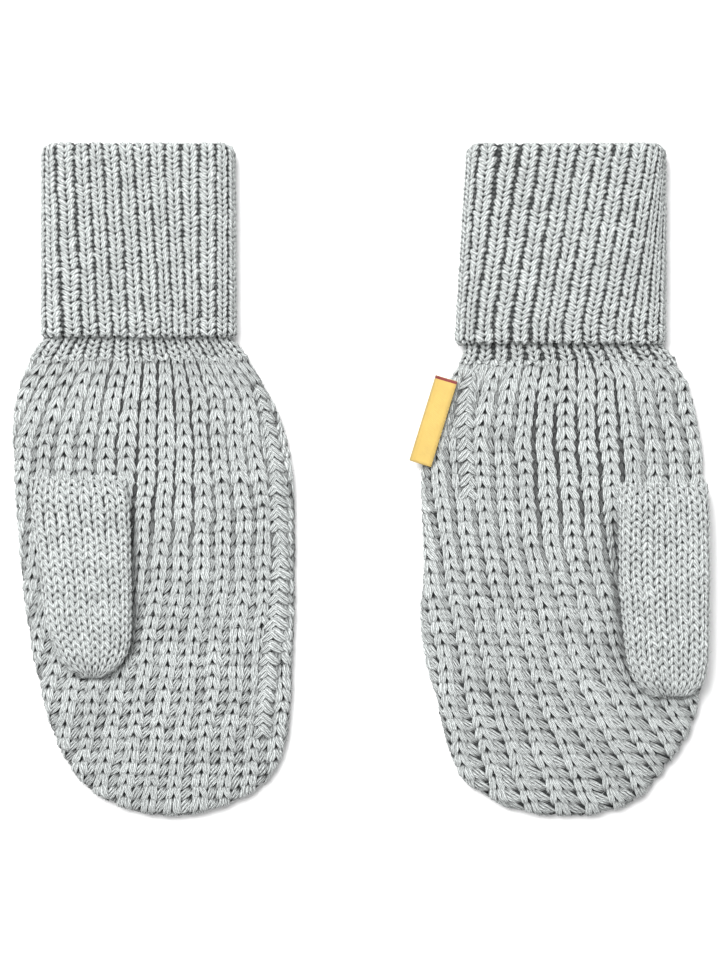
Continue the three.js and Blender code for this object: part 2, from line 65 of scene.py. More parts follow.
HAND = {
    LEFT: table(
        "y left right gutter pitch_left pitch_right",
        (29.4, -83.3, -27.2, -50.5, 3.8, 3.2),
        (25.9, -85.0, -24.8, -50.5, 4.1, 3.6),
        (20.9, -86.3, -22.0, -50.5, 4.5, 4.1),
        (15.9, -87.0, -19.8, -50.5, 4.8, 4.2),
        (9.0, -87.2, -17.8, -50.5, 5.1, 4.3),
        (1.0, -87.1, -16.6, -50.8, 5.2, 4.6),
        (-8.0, -86.3, -16.1, -51.6, 5.2, 5.0),
        (-17.0, -85.6, -16.0, -52.3, 5.2, 5.1),
        (-26.0, -84.9, -16.0, -53.2, 5.3, 5.3),
        (-35.0, -83.7, -16.1, -54.8, 5.5, 5.5),
        (-44.0, -82.3, -16.5, -56.1, 5.6, 5.6),
        (-54.0, -80.0, -16.8, -57.8, 5.9, 5.9),
        (-64.1, -77.0, -17.8, -59.4, 5.9, 5.9),
        (-71.6, -73.3, -20.5, -60.8, 6.1, 6.1),
        (-76.6, -69.5, -24.5, -61.5, 6.1, 6.1),
        (-80.1, -64.6, -29.8, -62.0, 6.2, 6.2),
        (-82.9, -58.6, -36.6, -62.4, 6.2, 6.2),
        (-84.5, -50.5, -43.5, -62.6, 6.2, 6.2),
    ),
    RIGHT: table(
        "y left right gutter pitch_left pitch_right",
        (28.4, 24.3, 80.0, 54.0, 4.3, 4.3),
        (25.4, 22.3, 81.8, 54.3, 4.7, 4.7),
        (20.9, 19.8, 83.5, 54.1, 4.9, 4.9),
        (15.9, 17.8, 84.7, 54.0, 5.1, 5.1),
        (9.0, 16.0, 85.7, 54.2, 5.4, 5.4),
        (1.0, 15.1, 86.3, 54.8, 5.4, 5.4),
        (-8.0, 15.2, 86.5, 55.2, 5.3, 5.3),
        (-17.0, 15.7, 86.5, 56.0, 5.2, 5.2),
        (-26.0, 15.4, 86.5, 57.9, 5.3, 5.3),
        (-35.0, 15.0, 86.5, 60.2, 5.4, 5.4),
        (-44.0, 16.0, 86.5, 62.5, 5.5, 5.5),
        (-54.0, 18.7, 85.5, 67.2, 6.0, 6.0),
        (-64.1, 20.8, 82.5, 72.7, 6.4, 6.4),
        (-71.6, 23.5, 77.3, 77.7, 6.9, 6.9),
        (-76.0, 26.3, 74.0, 80.4, 7.1, 7.1),
        (-79.6, 31.8, 70.6, 82.4, 7.3, 7.3),
        (-82.4, 37.0, 65.4, 84.0, 7.4, 7.4),
        (-84.5, 46.0, 57.5, 85.0, 7.5, 7.5),
    ),
}

# The turned-up cuff, from the fold to the free edge, and the neck under it.
CUFF = {
    LEFT: table("y left right", (84.4, -79.9, -31.1), (36.4, -79.9, -30.8)),
    RIGHT: table("y left right", (84.4, 26.6, 76.7), (34.8, 23.6, 76.7)),
}
NECK = {
    LEFT: table("y left right", (35.4, -79.2, -32.2), (32.4, -81.6, -29.6), (29.7, -83.2, -27.4)),
    RIGHT: table("y left right", (33.8, 26.0, 75.6), (31.2, 25.8, 77.8), (28.7, 24.4, 79.9)),
}
# Where the grooves between the cuff's ribs lie near the fold and near the free edge.
CUFF_GROOVES = {
    LEFT: table(
        "fold edge",
        (-79.0, -78.8), (-76.0, -74.2), (-71.2, -69.5), (-67.5, -65.5), (-64.0, -61.8), (-60.0, -58.0),
        (-56.5, -53.9), (-52.5, -50.0), (-48.6, -46.8), (-44.8, -43.5), (-40.2, -40.0), (-35.8, -35.8),
        (-32.8, -32.6),
    ),
    RIGHT: table(
        "fold edge",
        (28.9, 26.2), (34.5, 29.1), (39.5, 33.8), (44.8, 38.0), (49.2, 43.2), (53.9, 47.2), (58.5, 51.2),
        (62.8, 56.0), (67.2, 60.2), (71.2, 64.2), (74.5, 68.0), (76.0, 71.8), (76.5, 74.8),
    ),
}

THUMB = {
    LEFT: table(
        "y left right height",
        (-1.2, -82.7, -58.2, 0.72), (-6.0, -82.2, -57.4, 0.93), (-15.0, -81.0, -57.0, 1.0),
        (-26.0, -79.6, -56.8, 1.0), (-36.0, -78.2, -56.8, 1.0), (-42.0, -76.2, -57.4, 0.94),
        (-46.0, -73.6, -59.8, 0.8), (-48.0, -71.0, -62.4, 0.56),
    ),
    RIGHT: table(
        "y left right height",
        (-2.7, 64.5, 86.9, 0.72), (-8.0, 64.4, 87.2, 0.93), (-17.0, 64.3, 87.3, 1.0),
        (-28.0, 64.6, 87.3, 1.0), (-39.0, 65.6, 87.2, 1.0), (-46.0, 66.7, 86.8, 0.94),
        (-50.6, 68.8, 85.6, 0.8), (-53.0, 72.0, 83.2, 0.56),
    ),
}

# The plaited column on each palm's inner side, where the shaping of the hand was knitted.
PLAIT = {
    LEFT: table(
        "y x width",
        (24.5, -25.8, 3.8), (19.9, -24.7, 4.0), (16.1, -23.6, 4.2), (9.9, -22.1, 4.4), (4.9, -21.2, 4.6),
        (-10.1, -20.2, 4.8), (-22.6, -19.9, 5.2), (-30.1, -20.2, 5.8), (-37.6, -21.2, 6.0), (-42.6, -22.1, 6.0),
        (-50.1, -23.0, 6.0), (-55.1, -23.8, 5.8), (-65.1, -24.3, 5.4),
    ),
    RIGHT: table(
        "y x width",
        (27.0, 27.9, 4.4), (19.4, 26.3, 4.8), (13.9, 26.0, 5.0), (8.1, 26.5, 5.0), (3.4, 26.8, 5.0),
        (-4.0, 27.0, 5.0),
    ),
}

LABEL = {"corner_x": 18.9, "corner_y": 26.3, "length": 22.4, "width": 5.7, "turn": 0.3, "tape": 0.45, "droop": 1.6}

# ---------------------------------------------------------------- the knit
# Crest: height of a stitch over the ground that it stands on. Row: from one stitch to the next along a rib.
KNIT = {
    "palm": {"crest": 1.25, "row": 3.03, "pitch": 5.2, "rib": 4.0, "widest": 4.7},
    "back": {"crest": 1.0, "row": 3.03, "pitch": 5.2, "rib": 4.1, "widest": 4.3},
    "plait": {"crest": 1.05, "row": 3.03, "pitch": 5.4, "rib": 4.7, "widest": 6.0},
    "cuff": {"crest": 0.8, "row": 1.34, "pitch": 3.87, "rib": 3.2, "widest": 4.6},
    "neck": {"crest": 0.7, "row": 1.37, "pitch": 3.6, "rib": 3.1, "widest": 3.3},
    "thumb": {"crest": 0.75, "row": 2.0, "pitch": 2.85, "rib": 2.75, "widest": 2.85},
}
# Where in its row a column of stitches lies, the relief below which no stitch is laid, and fibres to a square metre.
TENSION = (0.36, 0.64)
LEAST_RELIEF = 0.13
FIBRES_PER_AREA = 480000


# ---------------------------------------------------------------- shapes
def smooth(t):
    s = np.clip(t, 0, 1)
    return s * s * (3 - 2 * s)


def row_at(rows, y):
    """The table's row at y, each column a smooth curve through the rows. y falls from row to row."""
    ys = rows["y"]
    last = len(ys) - 1
    i = 0
    while i < last - 1 and y < ys[i + 1]:
        i += 1
    before, after = max(i - 1, 0), min(i + 2, last)
    span = ys[i + 1] - ys[i]
    t = min(max((y - ys[i]) / span, 0), 1)
    found = {}
    for name, column in rows.items():
        slope_in = (column[i + 1] - column[before]) / ((ys[i + 1] - ys[before]) or 1) * span
        slope_out = (column[after] - column[i]) / ((ys[after] - ys[i]) or 1) * span
        found[name] = (
            column[i] * (2 * t**3 - 3 * t**2 + 1)
            + slope_in * (t**3 - 2 * t**2 + t)
            + column[i + 1] * (3 * t**2 - 2 * t**3)
            + slope_out * (t**3 - t**2)
        )
    found["y"] = y
    return found


class Hand:
    """The outline of one hand, and how far in from it any flat point lies."""

    def __init__(self, side):
        self.side = side
        self.rows = HAND[side]
        self.top, self.tip = self.rows["y"][0], self.rows["y"][-1]
        heights = list(np.arange(self.top, self.tip, -1.0)) + [self.tip]
        edges = [row_at(self.rows, y) for y in heights]
        down = [(edges[0]["left"], self.top + 40)] + [(e["left"], e["y"]) for e in edges]
        up = [(e["right"], e["y"]) for e in reversed(edges)] + [(edges[0]["right"], self.top + 40)]
        self.rim = np.array(down + up)

    def inset(self, flat):
        """Distance in from the outline, less than 0 outside it, and the direction out to it."""
        start, step = self.rim[:-1], np.diff(self.rim, axis=0)
        length = (step**2).sum(1)
        along = np.clip(((flat[:, None] - start) * step).sum(2) / length, 0, 1)
        away = flat[:, None] - (start + along[..., None] * step)
        distance = np.sqrt((away**2).sum(2))
        nearest = distance.argmin(1)
        pick = np.arange(len(flat))
        away, distance = away[pick, nearest], distance[pick, nearest]
        outward = np.stack([step[nearest, 1], -step[nearest, 0]], 1) / np.sqrt(length[nearest])[:, None]
        outside = (away * outward).sum(1) > 0
        toward = away / np.maximum(distance, 1e-6)[:, None] * np.where(outside, 1, -1)[:, None]
        toward = np.where((distance < 0.08)[:, None], outward, toward)
        return np.where(outside, -distance, distance), toward

    def crown(self, inset, y):
        return CROWN * smooth(inset / CROWN_WIDTH) * smooth((self.top - y) / 18)

    def rest(self, flat):
        """Level of the rib tops, without the rounded rim."""
        inset, _ = self.inset(flat)
        return 2 * HAND_WALL + SEAM_GAP + HAND_RIB + self.crown(inset, flat[:, 1])

    def ribs_at(self, x, y):
        """How many ribs a flat point lies from the table's groove, and the rib spacing there."""
        row = row_at(self.rows, y)
        pitch = np.where(x < row["gutter"], row["pitch_left"], row["pitch_right"])
        return (x - row["gutter"]) / pitch, pitch


def edge_profile(radius, drop, turn, inward):
    """The cloth's way round a rim from the flat: distance gone, how far out, how far down, and relief kept."""
    gone, out, down, relief = [0.0], [0.0], [0.0], [1.0]

    def go(step_out, step_down, keep):
        gone.append(gone[-1] + math.hypot(step_out, step_down))
        out.append(out[-1] + step_out)
        down.append(down[-1] + step_down)
        relief.append(keep)

    for k in range(12):
        a, b = (math.pi / 2 * t / 12 for t in (k, k + 1))
        go(radius * (math.sin(b) - math.sin(a)), radius * (math.cos(a) - math.cos(b)), 1.0 - 0.26 * (k + 1) / 12)
    go(0, drop, 0.68)
    for k in range(4):
        a, b = (math.pi / 2 * t / 4 for t in (k, k + 1))
        go(turn * (math.cos(b) - math.cos(a)), turn * (math.sin(b) - math.sin(a)), 0.6 - 0.12 * k)
    go(-inward, 0, 0.1)
    return np.array(gone), np.array(out), np.array(down), np.array(relief)


# The palm turns down at its rim and the back turns up to meet it.
FACE = {
    "palm": {"level": 2 * HAND_WALL + SEAM_GAP + HAND_RIB - 1.25, "start": 3.2, "facing": 1,
             "profile": edge_profile(2.25, 0.1, 0.3, 4)},
    "back": {"level": 1.0, "start": 2.4, "facing": -1, "profile": edge_profile(1.25, 0.05, 0.2, 4)},
}


def hand_surface(hand, face, flat):
    """The ground of a palm or back at flat points: places in mm, and the relief that stitches keep there."""
    shape = FACE[face]
    inset, toward = hand.inset(flat)
    gone = np.maximum(shape["start"] - inset, 0)
    path, out, down, relief = shape["profile"]
    shift = np.interp(gone, path, out) - gone
    places = np.empty((len(flat), 3))
    places[:, :2] = flat + toward * shift[:, None]
    level = shape["level"] + (hand.crown(inset, flat[:, 1]) if face == "palm" else 0)
    places[:, 2] = level - shape["facing"] * np.interp(gone, path, down)
    return places, np.interp(gone, path, relief), inset


# ---------------------------------------------------------------- meshes
def new_object(name, points, faces, uv=None, uv_name="cloth"):
    """An object from points in millimetres. uv gives one pair for each point."""
    mesh = bpy.data.meshes.new(name)
    mesh.from_pydata([tuple(p) for p in np.asarray(points) * MM], [], [tuple(map(int, f)) for f in faces])
    if uv is not None:
        layer = mesh.uv_layers.new(name=uv_name)
        corners = np.empty(len(mesh.loops), int)
        mesh.loops.foreach_get("vertex_index", corners)
        layer.data.foreach_set("uv", np.asarray(uv, float)[corners].ravel())
    mesh.shade_smooth()
    obj = bpy.data.objects.new(name, mesh)
    bpy.context.scene.collection.objects.link(obj)
    return obj


def grid_faces(rows, columns, keep=None, loop=False):
    faces = []
    for i in range(rows - 1):
        for k in range(columns - (0 if loop else 1)):
            if keep is None or keep[i, k]:
                n = (k + 1) % columns
                faces.append((i * columns + k, i * columns + n, (i + 1) * columns + n, (i + 1) * columns + k))
    return faces


def closed_shell(name, face, lining, uv, keep=None, loop=False):
    """A closed wall between two grids of points, (rows, columns, 3). Where keep is false there is a hole."""
    rows, columns = face.shape[:2]
    front = grid_faces(rows, columns, keep, loop)
    shift = rows * columns
    sides = {}
    for quad in front:
        for a, b in zip(quad, quad[1:] + quad[:1]):
            if (b, a) in sides:
                del sides[b, a]
            else:
                sides[a, b] = True
    faces = front + [tuple(shift + v for v in reversed(quad)) for quad in front]
    faces += [(b, a, shift + a, shift + b) for a, b in sides]
    points = np.concatenate([face.reshape(-1, 3), lining.reshape(-1, 3)])
    obj = new_object(name, points, faces, np.concatenate([uv.reshape(-1, 2)] * 2))
    tidy = bmesh.new()
    tidy.from_mesh(obj.data)
    bmesh.ops.delete(tidy, geom=[v for v in tidy.verts if not v.link_faces], context="VERTS")
    bmesh.ops.remove_doubles(tidy, verts=tidy.verts, dist=1e-6)
    bmesh.ops.dissolve_degenerate(tidy, edges=tidy.edges, dist=1e-7)
    bmesh.ops.recalc_face_normals(tidy, faces=tidy.faces)
    tidy.to_mesh(obj.data)
    tidy.free()
    return obj


def carrier(name, places, lattice, scale, keep=None, shown=1.0, bars=1.0):
    """A hidden sheet that the stitches are laid on. lattice counts ribs and rows at each point, scale gives
    the width of a rib and of a groove there and the relief, shown is 0 where no stitch starts, and bars is
    the height of the groove bars. Returns it with its span in ribs and rows."""
    rows, columns = places.shape[:2]
    flat = lattice.reshape(-1, 2)
    low = np.floor(flat.min(0)) - 1
    span = np.ceil(flat.max(0)) + 1 - low
    obj = new_object(name, places.reshape(-1, 3), grid_faces(rows, columns, keep), (flat - low) / span, "lattice")
    across = np.gradient(places, axis=1)
    along = np.gradient(places, axis=0)
    facing = np.cross(across, along)
    facing /= np.maximum(np.linalg.norm(facing, axis=2, keepdims=True), 1e-9)
    open_to_stitches = np.zeros(scale.shape)
    open_to_stitches[..., 0] = shown
    open_to_stitches[..., 1] = bars
    for label, values in (("facing", facing), ("scale", scale), ("shown", open_to_stitches)):
        attribute = obj.data.attributes.new(label, "FLOAT_VECTOR", "POINT")
        attribute.data.foreach_set("vector", values.reshape(-1, 3).ravel())
    return obj, span


# ---------------------------------------------------------------- node trees
def add(tree, kind, *values, **settings):
    """A node with its settings, then its inputs in order: a socket is linked, a constant is set, None is left."""
    made = tree.nodes.new(kind)
    for key, value in settings.items():
        setattr(made, key, value)
    for socket, value in zip([s for s in made.inputs if s.enabled], values):
        if isinstance(value, bpy.types.NodeSocket):
            tree.links.new(value, socket)
        elif value is not None:
            socket.default_value = value
    return next((s for s in made.outputs if s.enabled), None) if made.outputs else made


def math_node(tree, operation, *values):
    return add(tree, "ShaderNodeMath", *values, operation=operation)


def product(tree, *values):
    """The product of two or more values."""
    total = values[0]
    for value in values[1:]:
        total = math_node(tree, "MULTIPLY", total, value)
    return total


def vector_node(tree, operation, *values):
    return add(tree, "ShaderNodeVectorMath", *values, operation=operation)


def vector_of(tree, x, y, z):
    return add(tree, "ShaderNodeCombineXYZ", x, y, z)


def parts_of(tree, vector):
    made = tree.nodes.new("ShaderNodeSeparateXYZ")
    tree.links.new(vector, made.inputs[0])
    return made.outputs[0], made.outputs[1], made.outputs[2]


def named(tree, name, kind="FLOAT"):
    return add(tree, "GeometryNodeInputNamedAttribute", name, data_type=kind)


def position(tree):
    return add(tree, "GeometryNodeInputPosition")


def stored(tree, geometry, name, value, kind="FLOAT"):
    """The geometry with a value kept at each point."""
    return add(tree, "GeometryNodeStoreNamedAttribute", geometry, None, name, value, data_type=kind, domain="POINT")


def random_number(tree, low, high, number, seed):
    return add(tree, "FunctionNodeRandomValue", low, high, number, seed, data_type="FLOAT")


def negated(tree, value):
    return add(tree, "FunctionNodeBooleanMath", value, operation="NOT")


def shape_of(tree, source):
    """The shape of the object that a socket names."""
    made = tree.nodes.new("GeometryNodeObjectInfo")
    tree.links.new(source, made.inputs[0])
    return made.outputs["Geometry"]


def joined(tree, *parts):
    made = tree.nodes.new("GeometryNodeJoinGeometry")
    for part in parts:
        tree.links.new(part, made.inputs[0])
    return made.outputs[0]


def on_cloth(tree, cloth, value, where):
    """A value of the carrier at places given in ribs and rows, and whether the cloth reaches there."""
    made = tree.nodes.new("GeometryNodeSampleUVSurface")
    made.data_type = "FLOAT_VECTOR"
    for socket, source in zip(made.inputs, (cloth, value, named(tree, "lattice", "FLOAT_VECTOR"), where)):
        tree.links.new(source, socket)
    return made.outputs[0], made.outputs[1]


def new_tree(name, inputs):
    """An empty node tree that makes one shape. inputs gives the names under each kind of socket."""
    tree = bpy.data.node_groups.new(name, "GeometryNodeTree")
    for kind, labels in inputs.items():
        for label in labels:
            tree.interface.new_socket(label, in_out="INPUT", socket_type="NodeSocket" + kind)
    tree.interface.new_socket("Geometry", in_out="OUTPUT", socket_type="NodeSocketGeometry")
    return tree, tree.nodes.new("NodeGroupInput").outputs


def end_tree(tree, geometry, yarn):
    """Ends a tree with its geometry in the yarn."""
    done = add(tree, "GeometryNodeSetMaterial", geometry, None, yarn)
    tree.links.new(done, tree.nodes.new("NodeGroupOutput").inputs[0])


def make_knit_tree():
    """Lays one left leg, one right leg and one groove bar in every cell of ribs and rows, then bends the
    whole flat lattice on to the carrier."""
    tree, given = new_tree("knit stitches", {
        "Object": ("Cloth", "Left leg", "Right leg", "Groove bar"),
        "Int": ("Columns", "Rows", "Seed"),
        "Float": ("Rib pitch", "Row pitch", "Turn spread", "Size spread", "Wander", "Crest"),
        "Vector": ("Cloth size",),
        "Material": ("Yarn",),
    })
    cloth = shape_of(tree, given["Cloth"])
    index = add(tree, "GeometryNodeInputIndex")
    column = math_node(tree, "MODULO", index, given["Columns"])
    row = math_node(tree, "FLOOR", math_node(tree, "DIVIDE", index, given["Columns"]))
    x = product(tree, math_node(tree, "ADD", column, 0.5), given["Rib pitch"])
    tension = random_number(tree, *TENSION, column, given["Seed"])
    y = product(tree, math_node(tree, "ADD", row, tension), given["Row pitch"])
    count = product(tree, given["Columns"], given["Rows"])
    cells = add(tree, "GeometryNodePoints", count, vector_of(tree, x, y, 0.0), 0.0001)

    # Cells off the cloth, or tucked in behind its rim, are left out.
    where = vector_node(tree, "DIVIDE", position(tree), given["Cloth size"])
    scale, reached = on_cloth(tree, cloth, named(tree, "scale", "FLOAT_VECTOR"), where)
    rib_scale, groove_scale, relief = parts_of(tree, scale)
    shown, _ = on_cloth(tree, cloth, named(tree, "shown", "FLOAT_VECTOR"), where)
    shown, bar_height, _ = parts_of(tree, shown)
    shown = add(tree, "FunctionNodeCompare", product(tree, relief, shown), LEAST_RELIEF, operation="GREATER_THAN")
    shown = add(tree, "FunctionNodeBooleanMath", reached, shown, operation="AND")
    cells = add(tree, "GeometryNodeDeleteGeometry", cells, negated(tree, shown), domain="POINT")

    def spread(low, high, step):
        return random_number(tree, low, high, None, math_node(tree, "ADD", given["Seed"], float(step)))

    cells = stored(tree, cells, "stitch_shade", spread(0.0, 1.0, 1))
    size, long = (math_node(tree, "MULTIPLY_ADD", spread(-1.0, 1.0, step), given["Size spread"], 1.0)
                  for step in (2, 5))

    def laid(points, template, width, tall, step):
        angle = product(tree, spread(-1.0, 1.0, step), given["Turn spread"])
        turned = add(tree, "FunctionNodeEulerToRotation", vector_of(tree, 0.0, 0.0, angle))
        stretch = vector_of(tree, product(tree, width, size), long, product(tree, size, tall))
        shape = shape_of(tree, given[template])
        return add(tree, "GeometryNodeInstanceOnPoints", points, None, shape, None, None, turned, stretch)

    half = vector_of(tree, product(tree, given["Rib pitch"], 0.5), 0.0, 0.0)
    grooves = add(tree, "GeometryNodeSetPosition", cells, None, None, half)
    flat = add(tree, "GeometryNodeRealizeInstances", joined(
        tree,
        laid(cells, "Left leg", rib_scale, 1.0, 3),
        laid(cells, "Right leg", rib_scale, 1.0, 4),
        laid(grooves, "Groove bar", groove_scale, bar_height, 6),
    ))

    # Hand-knit rows are never quite straight.
    cloudy = tree.nodes.new("ShaderNodeTexNoise")
    place = vector_node(tree, "ADD", position(tree), vector_of(tree, 0.0, 0.0, given["Seed"]))
    tree.links.new(place, cloudy.inputs["Vector"])
    cloudy.inputs["Scale"].default_value = 130
    cloudy.inputs["Detail"].default_value = 1
    drift = vector_node(tree, "MULTIPLY", vector_node(tree, "SUBTRACT", cloudy.outputs["Color"], (0.5, 0.5, 0.5)),
                        vector_of(tree, given["Wander"], given["Wander"], 0.0))
    flat = add(tree, "GeometryNodeSetPosition", flat, None, None, drift)

    place = position(tree)
    where = vector_node(tree, "DIVIDE", place, given["Cloth size"])
    ground, reached = on_cloth(tree, cloth, position(tree), where)
    facing, _ = on_cloth(tree, cloth, named(tree, "facing", "FLOAT_VECTOR"), where)
    scale, _ = on_cloth(tree, cloth, named(tree, "scale", "FLOAT_VECTOR"), where)
    relief, above = parts_of(tree, scale)[2], parts_of(tree, place)[2]
    # Height of the yarn over its ground, less where the relief is low, as on rims, sides and sunk stitches. The yarn's
    # colour darkens where this is low: painted shade in the hollows between and under stitches.
    painted_shade_height = product(tree, above, math_node(tree, "SQRT", relief))
    flat = stored(tree, flat, "reached", reached, "BOOLEAN")
    flat = stored(tree, flat, "painted_shade_height", math_node(tree, "DIVIDE", painted_shade_height, given["Crest"]))
    lifted = vector_node(tree, "ADD", ground, vector_node(tree, "SCALE", facing, product(tree, above, relief)))
    bent = add(tree, "GeometryNodeSetPosition", flat, None, lifted)
    missed = negated(tree, named(tree, "reached", "BOOLEAN"))
    bent = add(tree, "GeometryNodeDeleteGeometry", bent, missed, domain="POINT")
    end_tree(tree, add(tree, "GeometryNodeSetShadeSmooth", bent, None, True), given["Yarn"])
    return tree


def knit(name, cloth, templates, gauge, yarn, seed, turn=0.15, size=0.11, wander=1.2):
    """Stitches on a carrier, as a plain mesh."""
    obj, span = cloth
    pitch, row = gauge["pitch"] * MM, gauge["row"] * MM
    host = new_object(name, [(0, 0, 0)], [])
    left, right, bar = templates
    mesh = plain_mesh(host, KNIT_TREE, {
        "Cloth": obj, "Left leg": left, "Right leg": right, "Groove bar": bar, "Columns": int(span[0]),
        "Rows": int(span[1]), "Rib pitch": pitch, "Row pitch": row,
        "Cloth size": (float(span[0]) * pitch, float(span[1]) * row, 1.0), "Turn spread": turn,
        "Size spread": size, "Wander": wander * MM, "Seed": seed, "Yarn": yarn, "Crest": gauge["crest"] * MM,
    })
    mesh.attributes.remove(mesh.attributes["reached"])
    host.data = mesh
    return host


def make_fuzz_tree():
    """Loose fibres standing off the upper side of the stitches."""
    tree, given = new_tree("loose fibres", {
        "Geometry": ("Geometry",), "Object": ("Fibre",), "Float": ("Density",), "Int": ("Seed",),
        "Material": ("Yarn",),
    })
    high = add(tree, "FunctionNodeCompare", named(tree, "painted_shade_height"), 0.5, operation="GREATER_THAN")
    add(tree, "GeometryNodeDistributePointsOnFaces", given["Geometry"], high, given["Density"], given["Seed"])
    points, _, upright = tree.nodes[-1].outputs
    turn = random_number(tree, 0.0, 2 * math.pi, None, given["Seed"])
    turn = add(tree, "FunctionNodeEulerToRotation", vector_of(tree, 0.0, 0.0, turn))
    turn = add(tree, "FunctionNodeRotateRotation", upright, turn, rotation_space="LOCAL")
    size = random_number(tree, 0.55, 1.25, None, given["Seed"])
    fibre = shape_of(tree, given["Fibre"])
    fibres = add(tree, "GeometryNodeInstanceOnPoints", points, None, fibre, None, None, turn, size)
    # The loose fibres get one fixed height for the painted shade, so the yarn's colour keeps them light.
    fibres = stored(tree, add(tree, "GeometryNodeRealizeInstances", fibres), "painted_shade_height", 0.85)
    both = add(tree, "GeometryNodeRealizeInstances", joined(tree, given["Geometry"], fibres))
    end_tree(tree, both, given["Yarn"])
    return tree


def plain_mesh(obj, tree, values):
    """The mesh that a node tree makes of an object, with the modifier taken away again."""
    changer = obj.modifiers.new("nodes", "NODES")
    changer.node_group = tree
    for socket in tree.interface.items_tree:
        if socket.in_out == "INPUT" and socket.name in values:
            changer[socket.identifier] = values[socket.name]
    mesh = bpy.data.meshes.new_from_object(obj.evaluated_get(bpy.context.evaluated_depsgraph_get()))
    obj.modifiers.remove(changer)
    return mesh


def fuzz(obj, seed, yarn):
    """Adds loose fibres to finished stitches."""
    values = {"Fibre": FIBRE_TEMPLATE, "Density": FIBRES_PER_AREA, "Seed": seed, "Yarn": yarn}
    obj.data = plain_mesh(obj, FUZZ_TREE, values)


# ---------------------------------------------------------------- stitch templates
def through(points, count):
    """A smooth line of count places through a few points."""
    points = np.array(points, float)
    t = np.linspace(0, len(points) - 1, count)
    padded = np.vstack([2 * points[0] - points[1], points, 2 * points[-1] - points[-2]])
    found = []
    for value in t:
        i = min(int(value), len(points) - 2)
        f = value - i
        a, b, c, d = padded[i : i + 4]
        found.append(0.5 * (2 * b + (c - a) * f + (2 * a - 5 * b + 4 * c - d) * f**2 + (3 * b - a - 3 * c + d) * f**3))
    return np.array(found)


def yarn_piece(name, points, strands=(0.0,), width=0.5, height=0.45, count=7, around=6, ends=0.6, sweep=250):
    """Strands of yarn side by side along a line, as arches whose open side lies in the cloth."""
    line = through(points, count)
    along = np.gradient(line, axis=0)
    along /= np.linalg.norm(along, axis=1)[:, None]
    side = np.cross(along, (0, 0, 1))
    side /= np.linalg.norm(side, axis=1)[:, None]
    up = np.cross(side, along)
    length = np.concatenate([[0], np.cumsum(np.linalg.norm(np.diff(line, axis=0), axis=1))])
    swell = ends + (1 - ends) * np.sin(np.pi * length / length[-1]) ** 0.7
    angles = np.radians(np.linspace(-sweep / 2, sweep / 2, around))
    places, uv, faces = [], [], []
    for number, offset in enumerate(strands):
        first = len(places)
        for i in range(count):
            middle = line[i] + side[i] * offset * swell[i]
            for angle in angles:
                places.append(middle + side[i] * math.sin(angle) * width * swell[i]
                              + up[i] * math.cos(angle) * height * swell[i])
                uv.append((length[i] * 0.1 + number * 0.037, angle / math.radians(sweep)))
        faces += [tuple(first + v for v in quad) for quad in grid_faces(count, around)]
    obj = new_object(name, places, faces, uv, "yarn")
    bpy.context.scene.collection.objects.unlink(obj)
    return obj


def mirrored(points):
    return [(-x, y, z) for x, y, z in points]


PALM_LEG = [(-0.65, 2.12, -0.1), (-0.76, 1.3, 0.66), (-0.87, 0.45, 0.88), (-1.04, -0.36, 0.88),
            (-1.25, -1.0, 0.76), (-1.25, -2.08, 0.15)]
BACK_LEG = [(-0.5, 1.95, 0.0), (-0.85, 0.2, 0.55), (-1.2, -1.85, -0.2)]
CUFF_LEG = [(-0.13, -1.2, -0.1), (-0.47, -0.55, 0.4), (-0.96, 0.2, 0.42), (-1.38, 0.98, -0.3)]
THUMB_LEG = [(-0.1, 1.6, -0.25), (-0.36, 0.8, 0.3), (-0.76, -0.15, 0.38), (-1.1, -0.95, 0.2), (-1.28, -1.5, -0.25)]
PLAIT_OVER = [(-1.1, 1.9, 0.1), (-0.2, 1.0, 0.8), (0.85, -0.1, 0.92), (2.0, -1.2, 0.35)]
PLAIT_UNDER = [(0.6, 1.5, 0.1), (-0.3, 0.7, 0.55), (-1.15, -0.25, 0.7), (-2.1, -1.4, 0.3)]
FIBRE = [(0.0, 0.0), (0.3, 0.22), (0.75, 0.3), (1.15, 0.22)]


def fibre_template():
    """One loose fibre that rises from the yarn and bends over."""
    line = through([(x, 0, z) for x, z in FIBRE], 4)
    half = (0.035, 0.032, 0.024, 0.008)
    places = [(x, sign * h, z) for (x, _, z), h in zip(line, half) for sign in (-1, 1)]
    uv = [(x * 0.1, 0.0) for x in line[:, 0] for _ in range(2)]
    obj = new_object("loose fibre", places, grid_faces(4, 2), uv, "yarn")
    bpy.context.scene.collection.objects.unlink(obj)
    return obj


